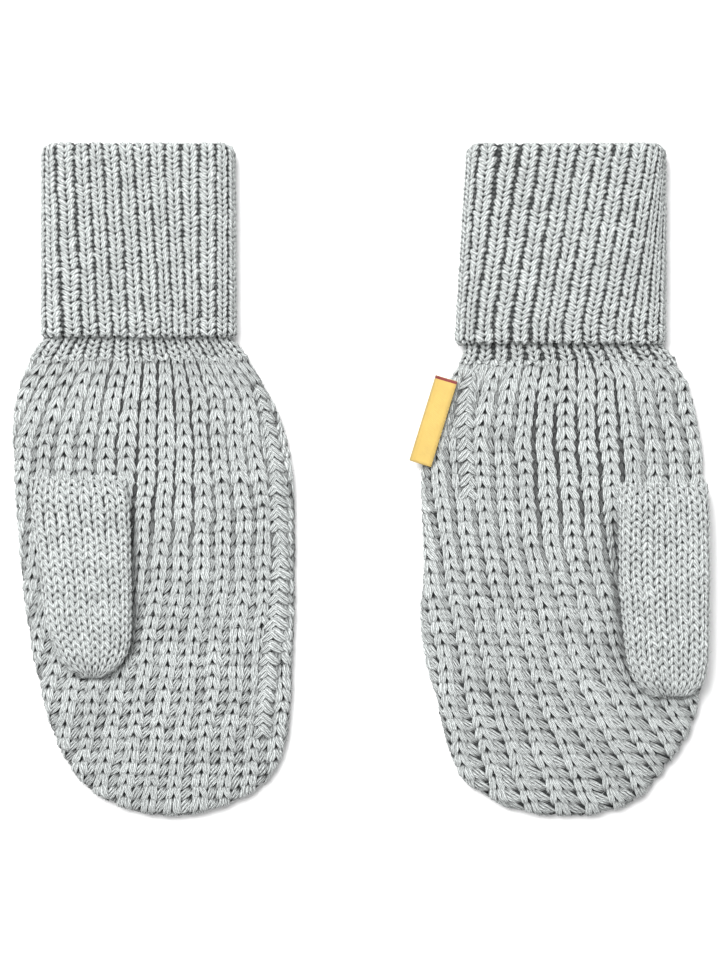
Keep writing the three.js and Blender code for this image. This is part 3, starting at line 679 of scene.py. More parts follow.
def stitch_templates(side):
    """For each part of a mitten, its left leg, right leg and groove bar."""
    lean = 1 if side == LEFT else -1
    palm_bar = [(-1.0, -1.6 * lean, 0.25), (-0.5, -0.65 * lean, 0.7), (0.25, 0.65 * lean, 0.63),
                (0.72, 1.5 * lean, 0.0)]
    low_bar = [(-0.5, -0.1, -0.3), (0, 0.05, 0.0), (0.5, -0.1, -0.3)]

    def trio(name, left, right, bar, bar_sizes, **sizes):
        return (
            yarn_piece(f"{side} {name} left leg", left, **sizes),
            yarn_piece(f"{side} {name} right leg", right, **sizes),
            yarn_piece(f"{side} {name} bar", bar, **bar_sizes),
        )

    slim = dict(width=0.4, height=0.34, count=4, around=4)
    tight = dict(width=0.6, count=5, around=5, ends=0.45)
    over, under = (PLAIT_OVER, PLAIT_UNDER) if side == LEFT else (mirrored(PLAIT_OVER), mirrored(PLAIT_UNDER))
    return {
        "palm": trio("palm", PALM_LEG, mirrored(PALM_LEG), palm_bar,
                     dict(strands=(-0.62, 0.0, 0.62), width=0.37, height=0.36, count=4, around=4, ends=0.75),
                     strands=(-0.43, 0.43), width=0.5, height=0.43, count=7, around=5, ends=0.6),
        "back": trio("back", BACK_LEG, mirrored(BACK_LEG), palm_bar, dict(width=0.9, height=0.4, count=3, around=4),
                     strands=(-0.4, 0.4), width=0.5, height=0.45, count=4, around=5),
        "plait": trio("plait", under, over, low_bar, dict(width=0.1, height=0.05, count=3, around=3),
                      strands=(-0.5, 0.5), width=0.52, height=0.46, count=7, around=6, ends=0.62),
        "cuff": trio("cuff", CUFF_LEG, mirrored(CUFF_LEG), low_bar, slim, height=0.44, **tight),
        "neck": trio("neck", CUFF_LEG, mirrored(CUFF_LEG), low_bar, slim, height=0.4, **tight),
        "thumb": trio("thumb", THUMB_LEG, mirrored(THUMB_LEG), low_bar, dict(width=0.3, height=0.1, count=3, around=3),
                      width=0.7, height=0.44, count=6, around=5, ends=0.5),
    }


# ---------------------------------------------------------------- materials
def new_material(name):
    """A material with its tree, its shader and the object's own coordinates."""
    material = bpy.data.materials.new(name)
    material.use_nodes = True
    tree = material.node_tree
    shader = next(n for n in tree.nodes if n.type == "BSDF_PRINCIPLED")
    return material, tree, shader, tree.nodes.new("ShaderNodeTexCoord").outputs["Object"]


def noise(tree, coordinates, scale, detail=3.0, roughness=0.6):
    made = tree.nodes.new("ShaderNodeTexNoise")
    tree.links.new(coordinates, made.inputs["Vector"])
    for name, value in (("Scale", scale), ("Detail", detail), ("Roughness", roughness)):
        made.inputs[name].default_value = value
    return made.outputs["Fac"]


def ranged(tree, value, low, high, to_low, to_high):
    made = tree.nodes.new("ShaderNodeMapRange")
    tree.links.new(value, made.inputs[0])
    for socket, number in zip(made.inputs[1:5], (low, high, to_low, to_high)):
        socket.default_value = number
    return made.outputs[0]


def tone(tree, *rows):
    """How light each place is. Each row has a value, its low and high, and the lightness at each."""
    return product(tree, *[ranged(tree, *row) for row in rows])


def plain_colour(tree, colour):
    made = add(tree, "ShaderNodeRGB")
    made.default_value = (*colour, 1)
    return made


def tinted(tree, colour, factor):
    """A colour made lighter or darker by a factor."""
    return vector_node(tree, "SCALE", plain_colour(tree, colour), factor)


def finish(tree, shader, colour, height=None, depth=0.0, strength=1.0, rough=None, **constants):
    """Links a colour, a height with its depth in metres, and a roughness to a shader, and sets its constants."""
    tree.links.new(colour, shader.inputs["Base Color"])
    if rough is not None:
        tree.links.new(ranged(tree, *rough), shader.inputs["Roughness"])
    if height is not None:
        bump = tree.nodes.new("ShaderNodeBump")
        bump.inputs["Distance"].default_value = depth
        bump.inputs["Strength"].default_value = strength
        tree.links.new(height, bump.inputs["Height"])
        tree.links.new(bump.outputs[0], shader.inputs["Normal"])
    for name, value in constants.items():
        shader.inputs[name.replace("_", " ")].default_value = value


def stitch_value(tree, name):
    """A value that the stitches keep at each point."""
    add(tree, "ShaderNodeAttribute", attribute_name=name)
    return tree.nodes[-1].outputs["Fac"]


def marl_yarn(name, colour, plies=3.4, lay=4.0, depth=0.00036):
    """Plied marl wool: twisted plies from the strand's own coordinates, light and dark fibres, and fuzz. Its colour
    also holds painted shade in the hollows, on the strands' sides and between the plies, and painted highlights on the
    plies.
    """
    material, tree, shader, solid = new_material(name)
    along, round_it, _ = parts_of(tree, add(tree, "ShaderNodeUVMap", uv_map="yarn"))
    turn = math_node(tree, "MULTIPLY_ADD", along, lay, product(tree, round_it, plies))
    bent = math_node(tree, "MULTIPLY_ADD", noise(tree, solid, 700, 2.0), 1.6, turn)
    ply = math_node(tree, "ABSOLUTE", math_node(tree, "SINE", product(tree, bent, math.pi)))
    ply = math_node(tree, "POWER", ply, 0.6)
    fibres = noise(tree, solid, 2600, 4.0, 0.7)
    clouds = noise(tree, solid, 55, 2.0)
    marl = noise(tree, solid, 1500, 3.0, 0.75)
    # stitch_shade is each stitch's own random tone; the height over the ground sets the painted shade in the hollows.
    shade, painted_shade_height = stitch_value(tree, "stitch_shade"), stitch_value(tree, "painted_shade_height")
    drawn_out = vector_of(tree, product(tree, along, 9.0), product(tree, round_it, 9.0), product(tree, shade, 40.0))
    streaks = noise(tree, drawn_out, 1.6, 3.0, 0.7)
    # How far round the strand to its side. The sides are darkened to about a third: painted shade where strands meet.
    side_for_painted_shade = product(tree, math_node(tree, "ABSOLUTE", round_it), 2.0)
    # Lightness of the yarn. The ply lines are painted shade between the plies and painted highlight on their crests.
    # The streaks are light and dark fibres, partly painted highlight. Low yarn and the strands' sides get painted
    # shade. Marl, fibres, stitch tone and clouds are the wool's own colour.
    factor = tone(
        tree,
        (ply, 0, 1, 0.36, 1.1), (marl, 0.3, 0.7, 0.76, 1.22), (streaks, 0.32, 0.68, 0.68, 1.24),
        (painted_shade_height, 0.14, 0.74, 0.07, 1.05), (side_for_painted_shade, 0.36, 0.76, 1.04, 0.36), (fibres, 0.3, 0.7, 0.82, 1.16),
        (shade, 0, 1, 0.94, 1.06), (clouds, 0.3, 0.7, 0.96, 1.04),
    )
    height = math_node(tree, "MULTIPLY_ADD", fibres, 0.4, math_node(tree, "MULTIPLY_ADD", streaks, 0.6, ply))
    finish(tree, shader, tinted(tree, colour, factor), height, depth, 0.9, (fibres, 0.3, 0.7, 0.86, 0.98),
           Sheen_Weight=0.22, Sheen_Roughness=0.55, Specular_IOR_Level=0.25)
    return material


def ground_yarn(name, colour):
    """The cloth between and under the stitches: the same wool painted nearly black as painted shade deep under the
    stitches, with its purl rows.
    """
    material, tree, shader, solid = new_material(name)
    fibres = noise(tree, solid, 2200, 4.0, 0.7)
    lumps = noise(tree, solid, 480, 2.0)
    factor = tone(tree, (fibres, 0.3, 0.7, 0.85, 1.15), (lumps, 0.3, 0.7, 0.85, 1.15))
    height = math_node(tree, "MULTIPLY_ADD", fibres, 0.4, lumps)
    finish(tree, shader, tinted(tree, colour, factor), height, 0.0004, 1.0, (fibres, 0.3, 0.7, 0.9, 1.0),
           Specular_IOR_Level=0.1)
    return material


def tape_weave(name, colour, line_colour):
    """Woven satin tape: fine warp and weft, and one thin line across near its upper end."""
    material, tree, shader, solid = new_material(name)
    along, across, _ = parts_of(tree, add(tree, "ShaderNodeUVMap", uv_map="cloth"))
    warp, weft = (math_node(tree, "SINE", product(tree, way, 2 * math.pi * threads))
                  for way, threads in ((across, 34), (along, 62)))
    weave = product(tree, warp, weft)
    cloudy = noise(tree, solid, 260, 3.0)
    factor = tone(tree, (weave, -1, 1, 0.95, 1.04), (cloudy, 0.3, 0.7, 0.95, 1.05))
    from_line = math_node(tree, "ABSOLUTE", math_node(tree, "SUBTRACT", along, 0.02))
    mixed = tree.nodes.new("ShaderNodeMix")
    mixed.data_type = "RGBA"
    tree.links.new(math_node(tree, "LESS_THAN", from_line, 0.016), mixed.inputs[0])
    tree.links.new(tinted(tree, colour, factor), mixed.inputs[6])
    tree.links.new(plain_colour(tree, line_colour), mixed.inputs[7])
    finish(tree, shader, mixed.outputs[2], weave, 0.00006, 1.0, (cloudy, 0.3, 0.7, 0.55, 0.72), Sheen_Weight=0.2)
    return material


YARN = marl_yarn("grey marl yarn", (0.52, 0.547, 0.541))
# The ground's near-black colour is painted shade.
GROUND = ground_yarn("shaded marl ground", (0.036, 0.039, 0.039))
TAPE = tape_weave("yellow woven tape", (0.6, 0.415, 0.11), (0.22, 0.025, 0.025))
KNIT_TREE = make_knit_tree()
FUZZ_TREE = make_fuzz_tree()
FIBRE_TEMPLATE = fibre_template()


# ---------------------------------------------------------------- hands
def hand_scale(pitch, relief, gauge, bars=0.0):
    """Widths of a rib and a groove against the templates, and the relief, for one rib spacing in mm. Where
    the groove bars stand high the ribs are slimmer."""
    rib = np.minimum(pitch - 0.28 + 0.2 * bars, gauge["widest"] - 0.5 * bars)
    stretch = gauge["pitch"] / pitch
    groove = np.clip(pitch - rib + 0.5, 0.7, 4.0) / 1.8
    low = np.clip(0.72 + 0.28 * (pitch - 3.4) / 1.4, 0.72, 1.0)
    return np.stack([rib / gauge["rib"] * stretch, groove * stretch, relief * low], -1)


def beside_thumb(side, xs, y):
    """1 along the thumb's inner side, where the palm dips away from it, and 0 elsewhere."""
    rows = THUMB[side]
    edge = row_at(rows, min(max(y, rows["y"][-1]), rows["y"][0]))
    gap = xs - edge["right"] if side == LEFT else edge["left"] - xs
    along = smooth((rows["y"][0] - 3 - y) / 6) * smooth((y - rows["y"][-1] + 1) / 5)
    return (1 - smooth((gap - 0.4) / 2.4)) * (gap > -6) * along


def hand_carrier(hand, face, gauge, extra_top, plait=False):
    """The carrier of a palm or a back, past the rim on every side so that edge stitches tuck in. With plait,
    it carries the plaited column instead of the ribs."""
    facing = FACE[face]["facing"]
    xs = np.arange(hand.rows["left"].min() - 5.5, hand.rows["right"].max() + 5.5, 0.7)
    ys = np.arange(hand.tip - 5.5, hand.top + extra_top, 0.7)
    if facing < 0:
        xs = xs[::-1]
    flat = np.stack(np.meshgrid(xs, ys), -1)
    places, relief, inset = hand_surface(hand, face, flat.reshape(-1, 2))
    shape = flat.shape[:2]
    lattice = np.empty(flat.shape)
    scale = np.empty((*shape, 3))
    shown = np.ones(shape)
    bars = np.zeros(shape)
    relief = relief.reshape(shape)
    track = PLAIT[hand.side]
    for i, y in enumerate(ys):
        at = row_at(track, y)
        in_rows = track["y"][-1] <= y <= track["y"][0]
        from_plait = (xs - at["x"]) / at["width"]
        from_gutter = np.abs(xs - row_at(hand.rows, y)["gutter"])
        bars[i] = np.maximum(smooth((2 - y) / 32), 0.8 * smooth((from_gutter - 9) / 7))
        relief[i] *= smooth((hand.top + 2.4 - y) / 2.0)
        if plait:
            ribs, pitch = np.clip(from_plait, -4, 4) + 0.5, np.full_like(xs, at["width"])
            shown[i] = (np.abs(from_plait) < 0.5) & in_rows
        else:
            ribs, pitch = hand.ribs_at(xs, y)
            # Under the plait and beside the thumb the palm's stitches sink, and the yarn's colour paints shade on them
            # because they sit low.
            if face == "palm" and in_rows:
                under = 1 - smooth((np.abs(from_plait) - 0.38) / 0.2)
                relief[i] *= 1 - 0.75 * under
                shown[i] = 1 + 3 * under
            if face == "palm":
                beside = beside_thumb(hand.side, xs, y)
                relief[i] *= 1 - 0.8 * beside
                shown[i] += 4 * beside
        lattice[i, :, 0] = ribs * facing
        lattice[i, :, 1] = (y - hand.top) / gauge["row"]
        scale[i] = hand_scale(pitch, relief[i], gauge, 0 if plait else bars[i])
    inside = (inset > -5.2).reshape(shape)
    if plait:
        inside &= (np.abs(lattice[..., 0] - 0.5) < 3.5)
    keep = inside[:-1, :-1] & inside[1:, :-1] & inside[:-1, 1:] & inside[1:, 1:]
    places = places.reshape(*shape, 3)
    return carrier(f"{hand.side} {face} carrier", places, lattice, scale, keep, shown, 0.25 + 0.75 * bars)


def hand_rows(hand):
    heights = list(np.arange(hand.top, hand.tip + 5, -1.5)) + list(np.arange(hand.tip + 5, hand.tip + 0.2, -0.5))
    return heights + [hand.tip + 0.1]


def hand_shell(hand, face, columns=48):
    """The cloth of a palm or back under its stitches: ground on the facing side, plain lining on the other."""
    heights = hand_rows(hand)[::-1]
    share = (1 - np.cos(np.linspace(0, np.pi, columns))) / 2 * 0.35 + np.linspace(0, 1, columns) * 0.65
    flat = np.array([[(e["left"] + (e["right"] - e["left"]) * s, e["y"]) for s in share]
                     for e in (row_at(hand.rows, y) for y in heights)])
    shape = flat.shape[:2]
    places, _, inset = hand_surface(hand, face, flat.reshape(-1, 2))
    lining = places.copy()
    rise = np.sqrt(1 - (1 - np.clip(inset, 0, RIM_ROUND) / RIM_ROUND) ** 2)
    if face == "palm":
        lining[:, 2] = 2.5 + 0.2 * rise + hand.crown(inset, flat.reshape(-1, 2)[:, 1])
    else:
        lining[:, 2] = 2.22 + 0.18 * rise
    keep = None
    if face == "palm":
        thumb = THUMB[hand.side]
        middle = flat[:-1, :-1] * 0.5 + flat[1:, 1:] * 0.5
        inside_x = (middle[..., 0] > thumb["left"][0] + 1.6) & (middle[..., 0] < thumb["right"][0] - 1.6)
        keep = ~(inside_x & (np.abs(middle[..., 1] - (thumb["y"][0] - MOUTH_DEPTH / 2)) < 1.0))
    uv = flat * 0.01
    grids = places.reshape(*shape, 3), lining.reshape(*shape, 3)
    name = f"{hand.side}_{face}_cloth"
    if FACE[face]["facing"] < 0:
        grids = tuple(g[:, ::-1] for g in grids)
        uv = uv[:, ::-1]
    return closed_shell(name, grids[0], grids[1], uv, keep)


# ---------------------------------------------------------------- tubes
def round_loop(around, half_width, half_height, inset):
    """A flattened loop seen along the tube: x and z from its centre at distances round it from the front's
    middle, with the loop drawn in by inset."""
    flat = half_width - half_height
    far = np.abs(around)
    angle = np.clip((far - flat) / half_height, 0, np.pi)
    radius = half_height - inset
    past = np.maximum(far - flat - np.pi * half_height, 0)
    x = np.minimum(far, flat) + radius * np.sin(angle) - past
    return np.sign(around) * x, radius * np.cos(angle)


def round_distance(x, half_width, half_height):
    """How far round the loop a place on the front lies, from its x."""
    flat = half_width - half_height
    over = np.clip((np.abs(x) - flat) / half_height, 0, 1)
    return np.sign(x) * (np.minimum(np.abs(x), flat) + half_height * np.arcsin(over))


def perimeter(half_width, half_height):
    return 4 * (half_width - half_height) + 2 * math.pi * half_height


def rib_count_round(grooves, half_width, half_height, pitch):
    first, last = round_distance(grooves[[0, -1]], half_width, half_height)
    return len(grooves) - 1 + round((perimeter(half_width, half_height) - (last - first)) / pitch)


def ribs_round(around, grooves, count, half_width, half_height):
    """Ribs counted round the loop: whole numbers at the grooves of the front, even spacing on the back."""
    known = round_distance(grooves, half_width, half_height)
    full = perimeter(half_width, half_height)
    back = np.linspace(known[-1], known[0] + full, count - len(grooves) + 2)[1:]
    stops = np.concatenate([known, back])
    numbers = np.arange(len(stops), dtype=float)
    stops = np.concatenate([stops[:-1] - full, stops, stops[1:] + full])
    numbers = np.concatenate([numbers[:-1] - count, numbers, numbers[1:] + count])
    ribs = np.interp(around, stops, numbers)
    spacing = np.interp(around, (stops[1:] + stops[:-1]) / 2, np.diff(stops))
    return ribs, spacing


def cuff_edge(side, y):
    rows = CUFF[side]
    t = (rows["y"][0] - y) / (rows["y"][0] - rows["y"][1])
    round_off = 3.0 - math.sqrt(9.0 - min(max(y - rows["y"][0] + 3.0, 0), 2.6) ** 2)
    left, right = (rows[k][0] + (rows[k][1] - rows[k][0]) * t for k in ("left", "right"))
    return {"left": left + round_off, "right": right - round_off}


def cuff_path(side, crest):
    """The facing side of the cuff from its free edge up, over the fold and down inside: y, how far in from
    the outside, and the relief kept."""
    fold, free = CUFF[side]["y"]
    centre = CUFF_WALL + SEAM_GAP / 2
    radius = centre - crest
    start = fold - centre
    path = [(free + 1.0, crest + 1.1, 0.15), (free - 0.2, crest + 1.0, 0.4), (free - 0.45, crest + 0.5, 0.9)]
    path += [(y, crest, 1.0) for y in np.linspace(free - 0.1, start, 26)]
    for turn in np.linspace(0, math.pi, 9)[1:]:
        path.append((start + radius * math.sin(turn), centre - radius * math.cos(turn), 1.0))
    path += [(start - d, centre + radius, keep) for d, keep in ((1, 1.0), (3, 1.0), (5, 0.7), (7, 0.1))]
    return np.array(path)


def ribbed_ring(y, centre, level, half, tall, inset, grooves, count, gauge, extra, samples, slack):
    """One ring of a ribbed tube that goes on past its own start by extra: its places, the ribs round it, and
    the widths of a rib and a groove against the templates."""
    full = perimeter(half, tall)
    around = np.linspace(-full / 2 - extra, full / 2 + extra, samples)
    ribs, spacing = ribs_round(around, grooves, count, half, tall)
    wrapped = np.where(np.abs(around) > full / 2, around - np.sign(around) * full, around)
    x, z = round_loop(wrapped, half, tall, inset)
    spacing = np.maximum(spacing, 1.5)
    stretch = gauge["pitch"] / spacing
    rib = np.minimum(spacing - slack, gauge["widest"])
    return np.stack([centre + x, np.full_like(x, y), level + z], 1), ribs, rib / gauge["rib"] * stretch, stretch


def once_round(name, places, lattice, scale, count):
    """A tube's carrier, which overlaps itself, with stitches for one full count of ribs only."""
    lattice = np.array(lattice)
    middle = lattice[len(lattice) // 2, lattice.shape[1] // 2, 0]
    first = round(middle - count / 2)
    shown = (lattice[..., 0] >= first) & (lattice[..., 0] < first + count)
    return carrier(name, np.array(places), lattice, np.array(scale), shown=shown)


def cuff_carrier(side, gauge):
    path = cuff_path(side, gauge["crest"])
    gone = np.concatenate([[0], np.cumsum(np.hypot(np.diff(path[:, 0]), np.diff(path[:, 1])))])
    middle = CUFF_HEIGHT / 2
    fold = CUFF[side]["y"][0]
    grooves = CUFF_GROOVES[side]
    base = cuff_edge(side, 60)
    width = (base["right"] - base["left"]) / 2
    count = rib_count_round(grooves["fold"] - (base["left"] + base["right"]) / 2, width, middle, gauge["pitch"])
    places, lattice, scale = [], [], []
    for (y, inset, relief), distance in zip(path, gone):
        edge = cuff_edge(side, min(y, fold))
        half, centre = (edge["right"] - edge["left"]) / 2, (edge["left"] + edge["right"]) / 2
        t = np.clip((80.4 - y) / (80.4 - 42.1), -0.1, 1.1)
        at = grooves["fold"] + (grooves["edge"] - grooves["fold"]) * t - centre
        at = np.clip(at, -half + 0.02, half - 0.02)
        ring, ribs, rib, groove = ribbed_ring(y, centre, middle, half, middle, inset, at, count, gauge, 6, 190, 0.1)
        places.append(ring)
        lattice.append(np.stack([ribs, np.full_like(ribs, distance / gauge["row"])], 1))
        scale.append(np.stack([rib, groove, np.full_like(ribs, relief)], 1))
    return once_round(f"{side} cuff carrier", places, lattice, scale, count)


def neck_sections(side):
    """The neck from under the cuff's free edge down to the hand: y, centre and half sizes of its outside."""
    rows = NECK[side]
    middle = CUFF_HEIGHT / 2
    hand_half = (HAND_WALL * 2 + SEAM_GAP + HAND_RIB * 0.7) / 2
    inner = middle - CUFF_WALL - SEAM_GAP
    sections = [(rows["y"][0] + 5, rows["left"][0], rows["right"][0], middle, inner)]
    heights = np.linspace(rows["y"][0] + 2, rows["y"][2] - 0.1, 12)
    for y in heights:
        edge = row_at(rows, min(y, rows["y"][0]))
        t = np.clip((rows["y"][0] - y) / (rows["y"][0] - rows["y"][2]) * 2 / 3 + 1 / 3, 0, 1)
        level, half_height = middle + (hand_half - middle) * t, inner + (hand_half - inner) * t
        sections.append((y, edge["left"], edge["right"], level, half_height))
    return sections


def neck_carrier(side, hand, gauge):
    rows = hand.rows
    first = row_at(rows, hand.top)
    numbers = np.arange(-8, 8)
    at_hand = first["gutter"] + numbers * np.where(numbers < 0, first["pitch_left"], first["pitch_right"])
    inside = (at_hand > first["left"] + 0.6) & (at_hand < first["right"] - 0.6)
    at_hand = at_hand[inside]
    middle_hand = (first["left"] + first["right"]) / 2
    places, lattice, scale = [], [], []
    count = None
    for y, left, right, level, tall in neck_sections(side)[::-1]:
        half, centre = (right - left) / 2, (left + right) / 2
        at = (at_hand - middle_hand) * half / ((first["right"] - first["left"]) / 2)
        if count is None:
            count = rib_count_round(at, half, tall, gauge["pitch"])
        ring, ribs, rib, groove = ribbed_ring(
            y, centre, level, half, tall, gauge["crest"], at, count, gauge, 5, 170, 0.25)
        places.append(ring)
        lattice.append(np.stack([ribs, np.full_like(ribs, y / gauge["row"])], 1))
        scale.append(np.stack([rib, groove, np.ones_like(ribs)], 1))
    return once_round(f"{side} neck carrier", places, lattice, scale, count)


def cuff_shell(side, gauge, columns=72):
    """The turned-up cuff and neck as one folded tube of cloth: facing side and hidden side."""
    crest = gauge["crest"]
    middle = CUFF_HEIGHT / 2
    fold, free = CUFF[side]["y"]
    centre_in = CUFF_WALL + SEAM_GAP / 2
    start = fold - centre_in
    share = np.linspace(-1, 1, columns, endpoint=False)
    facing, hidden = [], []

    def ring(y, left, right, z, half_height, inset):
        half = (right - left) / 2
        x, dz = round_loop(share * perimeter(half, half_height) / 2, half, half_height, inset)
        return np.stack([(left + right) / 2 + x, np.full_like(x, y), z + dz], 1)

    def both(y, face_in, hide_in, hide_y=None):
        edge = cuff_edge(side, y)
        facing.append(ring(y, edge["left"], edge["right"], middle, middle, face_in))
        hidden.append(ring(hide_y or y, edge["left"], edge["right"], middle, middle, hide_in))

    both(free, crest + 0.6, CUFF_WALL - 0.25)
    both(free + 0.8, crest, CUFF_WALL)
    for y in np.linspace(free + 3, start, 20):
        both(y, crest, CUFF_WALL)
    for turn in np.linspace(0, math.pi, 9)[1:]:
        across, up = math.cos(turn), math.sin(turn)
        radius = centre_in - crest
        both(start + radius * up, centre_in - radius * across, centre_in - SEAM_GAP / 2 * across,
             start + SEAM_GAP / 2 * up)
    for y in (start - 3, start - 6):
        both(y, centre_in + centre_in - crest, CUFF_WALL + SEAM_GAP)
    for y in np.linspace(start - 9, free + 4, 8):
        both(y, middle - SEAM_GAP / 2, CUFF_WALL + SEAM_GAP)
    neck = neck_sections(side)
    for y, left, right, z, half_height in neck[1:]:
        deep = KNIT["neck"]["crest"]
        t = np.clip((neck[1][0] - y) / (neck[1][0] - neck[-1][0]), 0, 1)
        inner_z = middle + (HAND_WALL + SEAM_GAP / 2 - middle) * t
        half = (right - left) / 2
        x, dz = round_loop(share * perimeter(half, half_height) / 2, half, half_height, deep)
        hidden.append(np.stack([(left + right) / 2 + x, np.full_like(x, y), z + dz], 1))
        x = x * (half - HAND_WALL) / half
        thin = np.sign(dz) * np.minimum(np.abs(dz), 0.15)
        facing.append(np.stack([(left + right) / 2 + x, np.full_like(x, y), inner_z + thin], 1))
    facing, hidden = np.array(facing), np.array(hidden)
    rows = np.arange(len(facing)) / 8
    uv = np.stack(np.meshgrid(share, rows), -1)
    return closed_shell(f"{side}_cuff_cloth", facing, hidden, uv, loop=True)


# ---------------------------------------------------------------- thumbs
def thumb_sections(side):
    """From the tip up to the mouth: y, centre, half width, height, and how far the tip has closed."""
    rows = THUMB[side]
    mouth, last = rows["y"][0], rows["y"][-1]
    heights = [last - 0.75, last - 0.6, last - 0.3]
    heights += list(np.arange(last, mouth - 4.5, 1.2)) + list(np.arange(mouth - 4.2, mouth + 0.01, 0.6))
    sections = []
    for y in sorted(set(np.round(heights, 3))):
        row = row_at(rows, min(max(y, last), mouth))
        height = row["height"] * THUMB_HEIGHT
        rise = math.sqrt(max(1 - (1 - min((mouth - y) / 4.5, 1)) ** 2, 0.004))
        closing = math.sqrt(max(1 - (max(last - y, 0) / 0.76) ** 2, 0.01))
        centre, half = (row["left"] + row["right"]) / 2, (row["right"] - row["left"]) / 2
        half *= 0.55 + 0.45 * closing
        sections.append((y, centre, half, height * rise, closing))
    return sections


def thumb_ring(hand, section, around, inset):
    """One ring of the thumb. Its lower face lies on the palm."""
    y, centre, half, height, closing = section
    tall = max(height / 2, 0.3)
    x, dz = round_loop(around, half, tall, min(inset, tall * 0.8))
    dz = dz * closing
    flat = np.stack([centre + x, np.full_like(x, y)], 1)
    under = dz * (tall - 0.1) / max(tall - min(inset, tall * 0.8), 0.1)
    z = hand.rest(flat) + SEAM_GAP + height / 2 + np.where(dz < 0, under, dz)
    return np.stack([flat[:, 0], flat[:, 1], z], 1)


def thumb_carrier(hand, gauge):
    """Upper face and both sides of the thumb, down to where it turns under. At the tip it goes on down, and at
    the mouth it sinks between the palm's ribs."""
    places, lattice, scale = [], [], []
    sections = thumb_sections(hand.side)
    widest = perimeter(sections[len(sections) // 2][2], THUMB_HEIGHT / 2)
    count = round(widest / gauge["pitch"])
    for section in sections:
        y, _, half, height, closing = section
        tall = max(height / 2, 0.3)
        full = perimeter(half, tall)
        around = np.linspace(-0.42, 0.42, 120) * full
        places.append(thumb_ring(hand, section, around, gauge["crest"]))
        ribs = around / full * count
        spacing = full / count
        lattice.append(np.stack([ribs, np.full_like(ribs, y / gauge["row"])], 1))
        relief = np.where(np.abs(around / full) < 0.36, 1.0, 0.3) * (0.65 + 0.35 * closing)
        stretch = gauge["pitch"] / spacing
        narrow = min(1.0, spacing / gauge["pitch"])
        scale.append(np.stack([np.full_like(ribs, narrow * stretch), np.full_like(ribs, stretch), relief], 1))
    down_at_tip, in_at_mouth = ((-0.3, -0.7), (-0.35, -1.4), (-0.3, -2.1)), ((0.7, -0.4), (1.4, -1.0), (2.1, -1.8))
    for end, shifts in ((0, down_at_tip), (-1, in_at_mouth)):
        edge, rows = places[end], lattice[end]
        for out, drop in shifts:
            ring, steps = edge + (0, out, drop), rows.copy()
            steps[:, 1] += math.copysign(math.hypot(out, drop), out) / gauge["row"]
            at = 0 if end == 0 else len(places)
            places.insert(at, ring)
            lattice.insert(at, steps)
            scale.insert(at, scale[end])
    return carrier(f"{hand.side} thumb carrier", np.array(places), np.array(lattice), np.array(scale))


def thumb_shell(hand, gauge, columns=60):
    """The thumb as a flat bag of cloth."""
    face, lining = [], []
    share = np.linspace(-1, 1, columns, endpoint=False)
    for section in thumb_sections(hand.side):
        _, centre, half, height, _ = section
        tall = max(height / 2, 0.3)
        around = share * perimeter(half, tall) / 2
        face.append(thumb_ring(hand, section, around, gauge["crest"]))
        inner = face[-1].copy()
        wall = min(THUMB_WALL - gauge["crest"], tall * 0.5)
        middle = hand.rest(inner[:, :2]) + SEAM_GAP + height / 2
        inner[:, 2] = middle + (inner[:, 2] - middle) * max(1 - wall / tall, 0.2)
        inner[:, 0] = centre + (inner[:, 0] - centre) * max(1 - wall / half, 0.3)
        lining.append(inner)
    face, lining = np.array(face), np.array(lining)
    uv = np.stack(np.meshgrid(share, np.arange(len(face)) / 8), -1)
    return closed_shell(f"{hand.side}_thumb_cloth", face, lining, uv, loop=True)


# ---------------------------------------------------------------- label
def label_cloth(hand):
    """A tape folded along its outer edge, lying on the palm's rounded rim."""
    size = LABEL
    tape, fold, width = size["tape"], SEAM_GAP / 2, size["width"]
    flat_part = (width, width * 0.75, width * 0.5, width * 0.25, 0.5)
    round_part = np.linspace(0, math.pi, 7)[1:-1]
    radius, top = tape + fold, 2 * tape + 2 * fold
    path = [(out, 0.0, out, tape) for out in flat_part]
    path += [(0.45 - 0.45 * math.sin(turn), radius - radius * math.cos(turn), 0.45, radius) for turn in round_part]
    path += [(out, top, out, tape + 2 * fold) for out in flat_part[::-1]]
    across, face_height, back_across, back_height = np.array(path).T
    shares = np.linspace(0, 1, 30)
    face, lining, uv = [], [], []
    for share in shares:
        along = share * size["length"]
        for grid, out, painted_shade_height in ((face, across, face_height), (lining, back_across, back_height)):
            x = size["corner_x"] - along * math.sin(size["turn"]) + out * math.cos(size["turn"])
            y = size["corner_y"] - along * math.cos(size["turn"]) - out * math.sin(size["turn"])
            flat = np.stack([x, y], 1)
            inset, _ = hand.inset(flat)
            ripple = 0.12 * np.sin(along * 0.5) * (1 - out / width)
            z = hand.rest(flat) + SEAM_GAP - size["droop"] * smooth((RIM_ROUND - inset) / 5) + painted_shade_height + ripple
            grid.append(np.stack([x, y, z], 1))
        uv.append(np.stack([np.full(len(path), share), np.linspace(0, 1, len(path))], 1))
    return closed_shell("right_label_tape", np.array(face), np.array(lining), np.array(uv))


# ---------------------------------------------------------------- putting the mittens together
helpers = []
pieces = {}


def knitted(side, part, cloth, templates, seed, *spread):
    """The stitches of one part on its carrier, which is a helper."""
    helpers.append(cloth[0])
    return knit(f"{side}_{part}_stitches", cloth, templates[part], KNIT[part], YARN, seed, *spread)


def dress(obj, node, material):
    """Body, finish and CAD node of one finished piece."""
    if material is not None:
        obj.data.materials.clear()
        obj.data.materials.append(material)
    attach(obj, "root")
    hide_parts(node)


